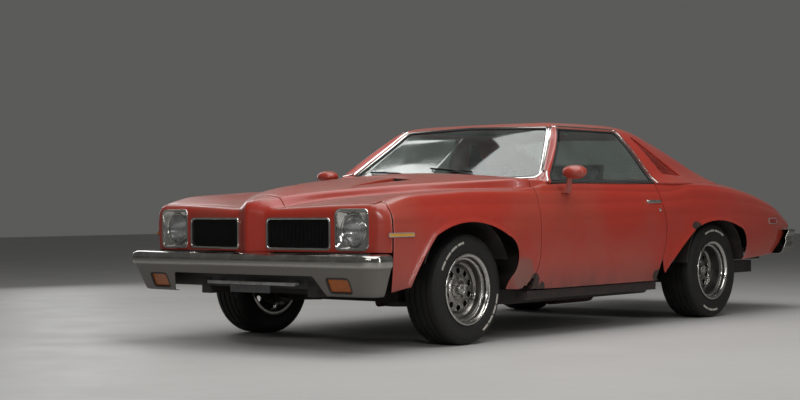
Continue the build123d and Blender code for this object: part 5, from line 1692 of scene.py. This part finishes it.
def vinyl_material():
    """Black upholstery vinyl with grain and sewn pleats."""
    material, tree, principled = shader("seat_vinyl_black")
    grain = put(tree, "TexVoronoi", {"Vector": place(tree), "Scale": 900.0}).outputs["Distance"]
    height = calc(tree, "ADD", calc(tree, "MULTIPLY", grain, 0.1), band(tree, ribs(tree, 3.6), 0.0, 0.1))
    tones = band(tree, noise(tree, 8, 5, 0.6), 0.3, 0.7)
    fill(tree, principled, Base_Color=blend(tree, tones, (0.012, 0.012, 0.013), (0.024, 0.022, 0.021)),
         Roughness=band(tree, grain, 0, 1, 0.38, 0.55), Normal=bump(tree, height, 0.003, 0.7))
    return material


GREY_DIRT = (0.07, 0.06, 0.05)
LOOKS = {
    "paint": paint_material(),
    "chrome": chrome_material("old_chrome", (0.62, 0.61, 0.58), 0.05, 0.14, GREY_DIRT, 0.2),
    "bumper": chrome_material("bumper_chrome", (0.42, 0.41, 0.38), 0.07, 0.16, GREY_DIRT, 0.25, 0.47),
    "wheel": chrome_material("wheel_steel", (0.46, 0.45, 0.42), 0.1, 0.24, (0.04, 0.036, 0.032), 0.45),
    # Dark steel for the dash trim, and painted shade on the rims' inner walls
    "barrel": chrome_material("dark_steel_and_barrel_shade", (0.12, 0.115, 0.105), 0.28, 0.45, (0.02, 0.018, 0.016), 0.6),
    "disc": chrome_material("disc_steel", (0.27, 0.26, 0.24), 0.14, 0.28, (0.03, 0.027, 0.024), 0.5),
    "rim_light": plain_material("recess_edge", (0.30, 0.29, 0.26), (0.2, 0.18, 0.16), 30, 0.45),
    "black": plain_material("black_plastic", (0.012, 0.012, 0.012), (0.022, 0.021, 0.02), 25, 0.5),
    "rubber": plain_material("seal_rubber", (0.009, 0.009, 0.009), (0.018, 0.017, 0.016), 40, 0.62),
    "grille": plain_material("grille_plastic", (0.004, 0.004, 0.004), (0.009, 0.009, 0.009), 30, 0.4),
    "bracket": plain_material("bracket_grey", (0.34, 0.34, 0.33), (0.22, 0.21, 0.2), 22, 0.5, Metallic=0.3),
    "blank": plain_material("plate_blank_paint", (0.05, 0.05, 0.055), (0.075, 0.07, 0.068), 22, 0.55),
    "rocker": plain_material("rocker_paint", (0.009, 0.007, 0.006), (0.03, 0.014, 0.01), 14, 0.72, 0.0008),
    "chassis": plain_material("chassis_paint", (0.013, 0.012, 0.011), (0.035, 0.027, 0.021), 7, 0.75, 0.0006),
    "engine": plain_material("engine_paint", (0.03, 0.04, 0.05), (0.045, 0.04, 0.036), 9, 0.6, 0.0006),
    "exhaust": plain_material("exhaust_steel", (0.13, 0.075, 0.045), (0.06, 0.042, 0.032), 18, 0.6, 0.0005,
                              Metallic=0.6),
    "white": plain_material("wall_white", (0.50, 0.48, 0.43), (0.26, 0.24, 0.21), 60, 0.65),
    "carpet": plain_material("carpet_black", (0.012, 0.012, 0.012), (0.02, 0.019, 0.018), 90, 0.95, 0.0015),
    "trim": plain_material("dash_vinyl", (0.014, 0.014, 0.015), (0.022, 0.021, 0.02), 20, 0.55, 0.0004),
    "vinyl": vinyl_material(),
    "tyre": tyre_material(),
    "floor": plain_material("studio_floor_paint", (0.43, 0.425, 0.41), (0.40, 0.395, 0.38), 0.6, 0.6, 0.0001),
    "window": glass_material("window_glass_tint", (0.74, 0.82, 0.78)),
    "lens": lamp_material(),
    "amber": lens_material("amber_plastic", (0.42, 0.10, 0.006), (0.12, 0.06, 0.03)),
    "red": lens_material("red_plastic", (0.30, 0.008, 0.006), (0.1, 0.05, 0.04)),
    "marker": lens_material("marker_amber", (0.75, 0.36, 0.04), (0.35, 0.22, 0.1)),
    "mirror": chrome_material("mirror_silver", (0.8, 0.82, 0.82), 0.02, 0.06, GREY_DIRT, 0.05),
}


def dress(obj, look):
    """Gives a piece one material."""
    obj.data.materials.clear()
    obj.data.materials.append(LOOKS[look])

# Cabin: padded seats, dash, steering wheel, carpet, headliner and door trim

SEAT_X = 395
CLOTH_FRAMES = 20
CLOTH_CELL = 18
CLOTH_PRESSURE = 4
SWELL_CAP = 14
CUSHION_ANGLE = 60


def pad_shape(name, centre, half, tilt):
    """Slack cushion: a crowned box with soft corners and sides that pull in between them."""
    bm = bmesh.new()
    bmesh.ops.create_cube(bm, size=2)
    bmesh.ops.subdivide_edges(bm, edges=bm.edges, cuts=15, use_grid_fill=True)
    turn = Matrix.Rotation(math.radians(tilt), 3, "X")
    for vert in bm.verts:
        x, y, z = vert.co
        reach = max((abs(x) ** 7 + abs(y) ** 7 + abs(z) ** 3.2) ** (1 / 7), 1)
        x, y, z = x / reach, y / reach, z / reach
        crown = 0.72 + 0.28 * (1 - x**2) * (1 - y**2)
        pull_x = 1 - 0.035 * (1 - y**2)
        pull_y = 1 - 0.035 * (1 - x**2)
        local = Vector((half[0] * x * pull_x, half[1] * y * pull_y, half[2] * z * crown))
        vert.co = (turn @ local + Vector(centre)) * MM
    mesh = bpy.data.meshes.new(name)
    bm.to_mesh(mesh)
    bm.free()
    obj = add_object(name, mesh)
    shade(obj, CUSHION_ANGLE)
    return obj


def smoothed(obj):
    """Makes one subdivision of a cushion its own mesh."""
    obj.modifiers.new("smooth", "SUBSURF").levels = 1
    apply_modifiers(obj)
    shade(obj, CUSHION_ANGLE)


def swell(obj):
    """Lets air pressure fill a cushion with Blender's cloth, then keeps the result."""
    remesh = obj.modifiers.new("even", "REMESH")
    remesh.mode = "VOXEL"
    remesh.voxel_size = CLOTH_CELL * MM
    apply_modifiers(obj)
    mesh = obj.data
    start = np.zeros(len(mesh.vertices) * 3)
    mesh.vertices.foreach_get("co", start)
    cloth = obj.modifiers.new("cloth", "CLOTH")
    cloth.settings.use_pressure = True
    cloth.settings.uniform_pressure_force = CLOTH_PRESSURE
    cloth.settings.effector_weights.gravity = 0
    cloth.point_cache.frame_end = CLOTH_FRAMES
    for step in range(1, CLOTH_FRAMES + 1):
        bpy.context.scene.frame_set(step)
    graph = bpy.context.evaluated_depsgraph_get()
    result = np.zeros_like(start)
    obj.evaluated_get(graph).data.vertices.foreach_get("co", result)
    obj.modifiers.clear()
    move = (result - start).reshape(-1, 3)
    length = np.linalg.norm(move, axis=1)
    move *= np.minimum(1, SWELL_CAP * MM / np.maximum(length, TINY))[:, None]
    mesh.vertices.foreach_set("co", start + move.ravel())
    smoothed(obj)
    bpy.context.scene.frame_set(1)


def keep_cushion(obj):
    """Puts a cushion on the car's body."""
    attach(obj, "body")


def cushion(name, centre, half, tilt):
    """One padded piece on the body."""
    obj = pad_shape(name, centre, half, tilt)
    swell(obj)
    dress(obj, "vinyl")
    keep_cushion(obj)
    return obj


for name, centre, half, tilt in (
    ("seat_base_", (SEAT_X, -205, 476), (236, 258, 50), -4.6),
    ("seat_back_", (SEAT_X, 122, 786), (232, 300, 46), 74.5),
    ("rear_seat_base_", (346, 562, 462), (196, 132, 52), 3),
    ("rear_seat_back_", (278, 768, 718), (262, 196, 42), 75.5),
):
    keep_cushion(mirrored(cushion(name + "left", centre, half, tilt), name + "right"))
cushion("rear_seat_middle", (0, 566, 506), (132, 128, 20), 3)

SEAT_BOX_VIEW = [(-462, 308), (-462, 440), (48, 428), (30, 308)]
BACK_BOARD_VIEW = [(66, 440), (96, 440), (262, 1066), (240, 1076), (226, 1066), (68, 500)]
REAR_BOX_VIEW = [(428, 308), (432, 425), (690, 425), (560, 308)]
both_sides(join("front_seat_frames", [
    extruded("seat_box", SEAT_BOX_VIEW, "x", SEAT_X - 215, SEAT_X + 215, 14, 3),
    extruded("seat_back_board", BACK_BOARD_VIEW, "x", SEAT_X - 205, SEAT_X + 205, 8, 3),
]))
both_sides(extruded("rear_seat_frame", REAR_BOX_VIEW, "x", 146, 545, 8, 2))

DASH_VIEW = [
    (-900, 700), (-900, 900), (-760, 905), (-640, 896), (-604, 868), (-600, 820), (-640, 640), (-700, 600),
]
BINNACLE_VIEW = [(-700, 896), (-690, 917), (-630, 917), (-588, 905), (-586, 890), (-640, 890)]
join("dash_body", [
    extruded("dash_body", DASH_VIEW, "x", -800, 800, 12, 3),
    extruded("dash_binnacle", BINNACLE_VIEW, "x", 215, 575, 8, 2),
])
DIAL_ROWS = [(-596, 2), (-596, 40), (-592, 44), (-588, 44), (-588, 48), (-596, 50), (-604, 50), (-604, 2)]
join("dash_trim", [
    *(turned("dial_ring", DIAL_ROWS, (x, 848), 40, loop=True) for x in (290, 395, 500)),
    box_mesh("radio_face", (20, 170), (-612, -596), (770, 820), 3),
    box_mesh("glovebox_trim", (-620, -240), (-606, -598), (846, 852), 2),
    *(
        box_mesh("vent_bar", (x - 45, x + 45), (-606, -594), (z, z + 4), 1, 1)
        for x in (-20, -680, 680) for z in (846, 857, 868, 879)
    ),
])

STEER_AT = (SEAT_X, -500, 850)
STEER_TILT = math.radians(25)
STEER_AXES = np.array([
    (1, 0, 0),
    (0, math.sin(STEER_TILT), -math.cos(STEER_TILT)),
    (0, math.cos(STEER_TILT), math.sin(STEER_TILT)),
])
STEER_R = 183
RIM_TUBE_R = 12
HUB_ROWS = [(4, 22), (34, 22), (48, 16), (56, 6), (58, -8), (40, -14), (24, -16), (22, -130), (3, -130)]
SPOKE = [(-17, -3), (-15, 3), (15, 3), (17, -3)]


def steer_ring(radius, height, count=36):
    """Circle round the steering column's axis."""
    return np.column_stack([circle(count, radius), np.full(count, height)]) @ STEER_AXES + STEER_AT


rim_rings = [steer_ring(STEER_R + out, up, 72) for out, up in circle(12, RIM_TUBE_R)]
wheel_parts = [
    ring_stack("steer_rim", rim_rings, loop=True),
    ring_stack("steer_hub", [steer_ring(r, h) for r, h in HUB_ROWS]),
]
reach = np.linspace(40, STEER_R - 8, 8)
for a in np.radians((0, 90, 180)):
    spoke = np.stack([reach * math.cos(a), reach * math.sin(a), 10 - 12 * ease(reach / STEER_R)], 1)
    wheel_parts.append(sweep("steer_spoke", spoke @ STEER_AXES + STEER_AT, [STEER_AXES[2]] * 8, SPOKE))
join("steering_wheel_rim", wheel_parts)


def carpet():
    """Carpet over the floor and its tunnel."""
    xs = np.concatenate([np.linspace(-820, -150, 12), np.linspace(-140, 140, 15), np.linspace(150, 820, 12)])
    ys = np.linspace(-978, 500, 30)
    grid = np.stack(np.meshgrid(xs, ys, indexing="ij"), -1).reshape(-1, 2)
    hump = 178 * ease((148 - np.abs(grid[:, 0])) / 34)
    toe = 90 * ease((-860 - grid[:, 1]) / 110)
    top = np.column_stack([grid, 310 + hump + toe * (1 - hump / 178)])
    n = len(ys)
    faces = []
    for i in range(len(xs) - 1):
        for a in range(i * n, i * n + n - 1):
            faces += [(a, a + n, a + n + 1), (a, a + n + 1, a + 1)]
    return closed_sheet("cabin_carpet", top, top - (0, 0, 5), np.array(faces))


carpet()
liner_outline = [(0, 410), (0, UP_TOP), (RING_END, UP_TOP), (RING_END, 410)]
half_sheet("headliner", house_surface, liner_outline, spacing=40, thickness=4, lift=-20)

CARD_VIEW = [
    (DOOR_FRONT_Y + 60, 480), (DOOR_FRONT_Y + 30, 345), (DOOR_REAR_Y - 150, 345), (DOOR_REAR_Y - 95, 480),
    (DOOR_REAR_Y - 60, 600), (DOOR_REAR_Y - 90, 800), (DOOR_REAR_Y - 110, 912), (DOOR_FRONT_Y + 90, 912),
]
card_line = side_to_param(resample(round_outline(CARD_VIEW, 30, 4), 30))
sheet("door_card_left", body_surface, card_line, spacing=30, thickness=5, lift=-57)
extruded("arm_rest_left", [(-350, 640), (60, 640), (60, 690), (-330, 700)], "x", 848, 902, 12, 3)
box_mesh("door_pull_left", (884, 902), (-420, -300), (742, 766), 5)

# Which body each piece rides on, and its look

DRESSED = (
    ("hood", "paint", "hood_skin duct_floors"),
    # The duct mouths are black as painted shade in the openings
    ("hood", "black", "duct_mouths"),
    ("trunk_lid", "paint", "lid_skin"),
    ("body", "paint", "fender_skin_left quarter_skin_left nose_skin roof_skin beak_foot louvre_blades"),
    ("body", "chrome", "front_frames lamp_reflector windshield_trim rear_window_trim side_window_strip"),
    ("body", "bumper", "front_bumper_bar rear_bumper_bar"),
    ("body", "rim_light", "marker_rims"),
    ("body", "rubber", "windshield_rubber rear_window_rubber side_window_seal wipers"),
    # The louvre plate's black is painted shade
    ("body", "black", "turn_lamp_rim louvre_plate front_filler rear_filler"),
    ("body", "grille", "grille_insert"),
    ("body", "bracket", "bracket_bar"),
    ("body", "blank", "plate_blank"),
    ("body", "amber", "turn_lamp_lens"),
    ("body", "marker", "front_marker_lens"),
    ("body", "red", "rear_marker_lens"),
    ("body", "lens", "lamp_lens"),
    ("body", "window", "windshield_glass rear_window_glass"),
    ("body", "rocker", "rocker_cover"),
    ("body", "trim", "front_seat_frames rear_seat_frame dash_body headliner"),
    ("body", "barrel", "dash_trim"),
    ("body", "carpet", "cabin_carpet"),
    ("steering_wheel", "black", "steering_wheel_rim"),
    ("door_left", "paint", "door_skin_left mirror_shell_left"),
    ("door_left", "chrome", "door_hardware_left door_pull_left"),
    ("door_left", "rubber", "belt_rubber_left belt_strip_left"),
    ("door_left", "mirror", "mirror_glass_left"),
    ("door_left", "window", "door_glass_pane_left"),
    ("door_left", "vinyl", "door_card_left"),
    ("door_left", "trim", "arm_rest_left"),
)
for body, look, names in DRESSED:
    for name in names.split():
        dress(bpy.data.objects[name], look)
        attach(bpy.data.objects[name], body)

# The rim's inner wall lies between these radii; it is painted dark there as shade in the deep rim
BARREL_FROM, BARREL_TO = 150, 172.5
# Width of the painted highlight round the disc's holes, in millimetres
HOLE_HIGHLIGHT_WIDTH = 3


def dress_two(obj, look, other, is_other, centre):
    """Gives a wheel piece a second material where the test on (y, z) from the axle holds."""
    dress(obj, look)
    obj.data.materials.append(LOOKS[other])
    for face in obj.data.polygons:
        _, y, z = np.array(obj.matrix_world @ face.center) / MM - centre
        face.material_index = int(is_other(y, z))


def in_shaded_barrel(y, z):
    """Inner wall of the rim, which is painted dark as shade."""
    return BARREL_FROM < math.hypot(y, z) < BARREL_TO


def at_hole_highlight(y, z):
    """Within a few millimetres of one of the holes, where brighter steel is a painted highlight."""
    turn = 2 * math.pi / WHEEL_HOLES
    angle = math.atan2(z, y) % turn - turn / 2
    radius = math.hypot(y, z)
    return math.hypot(radius * math.cos(angle) - HOLE_CIRCLE, radius * math.sin(angle)) < HOLE_R + HOLE_HIGHLIGHT_WIDTH


for wheel in WHEELS:
    for label, look in (("tyre_tread_", "tyre"), ("rim_cap_", "wheel"), ("tyre_bars_", "white")):
        dress(bpy.data.objects[label + wheel.place], look)
    # The rim's inner wall gets dark steel as painted shade
    dress_two(bpy.data.objects["rim_steel_" + wheel.place], "wheel", "barrel", in_shaded_barrel, wheel.centre)
    # The disc's hole edges get brighter steel as a painted highlight
    dress_two(bpy.data.objects["rim_disc_" + wheel.place], "disc", "wheel", at_hole_highlight, wheel.centre)

# Looks of the CAD nodes that stay in sight
NODE_LOOK = {
    "chassis": (
        "chassis_frame floor_pan wheelhouses engine_bay front_suspension rear_axle "
        "knuckle_left knuckle_right fuel_tank"
    ),
    "engine": "engine",
    "exhaust": "exhaust",
    "red": "tail_lamps",
    "paint": "tail_panel deck_strip",
    "black": "cowl_panel",
}
for look, names in NODE_LOOK.items():
    for name in names.split():
        dress(NODES[name], look)

# Right-hand pieces mirror the left-hand ones on their own bodies
ONE_SIDED = (
    "fender_skin door_skin quarter_skin door_glass_pane belt_strip belt_rubber door_hardware mirror_shell "
    "mirror_glass door_card arm_rest door_pull"
)
for name in ONE_SIDED.split():
    left = bpy.data.objects[name + "_left"]
    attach(mirrored(left, name + "_right"), left["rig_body"].replace("_left", "_right"))

REPLACED = {
    "hood_skin": "hood", "lid_skin": "trunk_lid", "nose_skin": "nose_panel", "roof_skin": "roof",
    "front_bumper_bar": "front_bumper", "rear_bumper_bar": "rear_bumper", "windshield_glass": "windshield",
    "rear_window_glass": "rear_window", "front_frames": "front_trim", "grille_insert": "grilles",
    "lamp_lens": "headlamps", "turn_lamp_lens": "turn_lamps", "bracket_bar": "plate_bracket",
    "louvre_plate": "louvres", "dash_body": "dashboard", "steering_wheel_rim": "steering_wheel",
    "seat_base_left": "front_seats", "rear_seat_base_left": "rear_seat",
}
SIDED = {
    "fender_skin_": "fender_", "door_skin_": "door_", "quarter_skin_": "quarter_",
    "door_glass_pane_": "door_glass_", "mirror_shell_": "mirror_",
}
for side in ("left", "right"):
    REPLACED.update({piece + side: node + side for piece, node in SIDED.items()})
for wheel in WHEELS:
    REPLACED["tyre_tread_" + wheel.place] = "tyre_" + wheel.place
    REPLACED["rim_steel_" + wheel.place] = "wheel_" + wheel.place
for piece, node in REPLACED.items():
    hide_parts(node)

# Studio

floor_mesh = bpy.data.meshes.new("studio_floor")
floor_mesh.from_pydata([(-30, -30, 0), (30, -30, 0), (30, 30, 0), (-30, 30, 0)], [], [(0, 1, 2, 3)])
floor = add_object("studio_floor", floor_mesh)
floor.data.materials.append(LOOKS["floor"])

world = bpy.data.worlds.new("studio")
bpy.context.scene.world = world
world.use_nodes = True
world.node_tree.nodes["Background"].inputs["Color"].default_value = (0.8, 0.8, 0.78, 1)
world.node_tree.nodes["Background"].inputs["Strength"].default_value = 0.13
bpy.context.scene.view_settings.view_transform = "Standard"


def area_light(name, at, aim, size, power):
    """A soft rectangular light aimed at a point."""
    data = bpy.data.lights.new(name, "AREA")
    data.shape = "RECTANGLE"
    data.size, data.size_y = size
    data.energy = power
    turn = (Vector(aim) - Vector(at)).to_track_quat("-Z", "Y")
    add_object(name, data).matrix_world = Matrix.Translation(at) @ turn.to_matrix().to_4x4()


area_light("overhead", (1.0, -1.0, 5.5), (0, 0, 0), (5, 8), 380)
area_light("front_key", (4.5, -8.0, 3.2), (0.5, -1.5, 0.6), (4, 0.5), 150)
area_light("side_fill", (7.5, 1.0, 2.6), (0.5, 0.5, 0.7), (0.35, 7), 130)
area_light("far_rim", (-5.5, 1.0, 3.5), (0, 0, 0.8), (1.0, 6), 60)

# Camera
FOCAL_MM = 73.83
CAMERA_AT = Vector((6.7117, -9.103, 0.8132))
YAW, PITCH, ROLL = math.radians(-40.242), math.radians(0.165), -0.00655
forward = Vector((math.sin(YAW) * math.cos(PITCH), math.cos(YAW) * math.cos(PITCH), math.sin(PITCH)))
right = Vector((math.cos(YAW), -math.sin(YAW), 0))
up = right.cross(forward)
right, up = right * math.cos(ROLL) + up * math.sin(ROLL), up * math.cos(ROLL) - right * math.sin(ROLL)
camera_data = bpy.data.cameras.new("camera")
camera_data.lens = FOCAL_MM
camera_data.sensor_width = 36
camera_data.clip_end = 100
camera = bpy.data.objects.new("camera", camera_data)
camera.matrix_world = Matrix.Translation(CAMERA_AT) @ Matrix((right, up, -forward)).transposed().to_4x4()
bpy.context.scene.collection.objects.link(camera)
bpy.context.scene.camera = camera
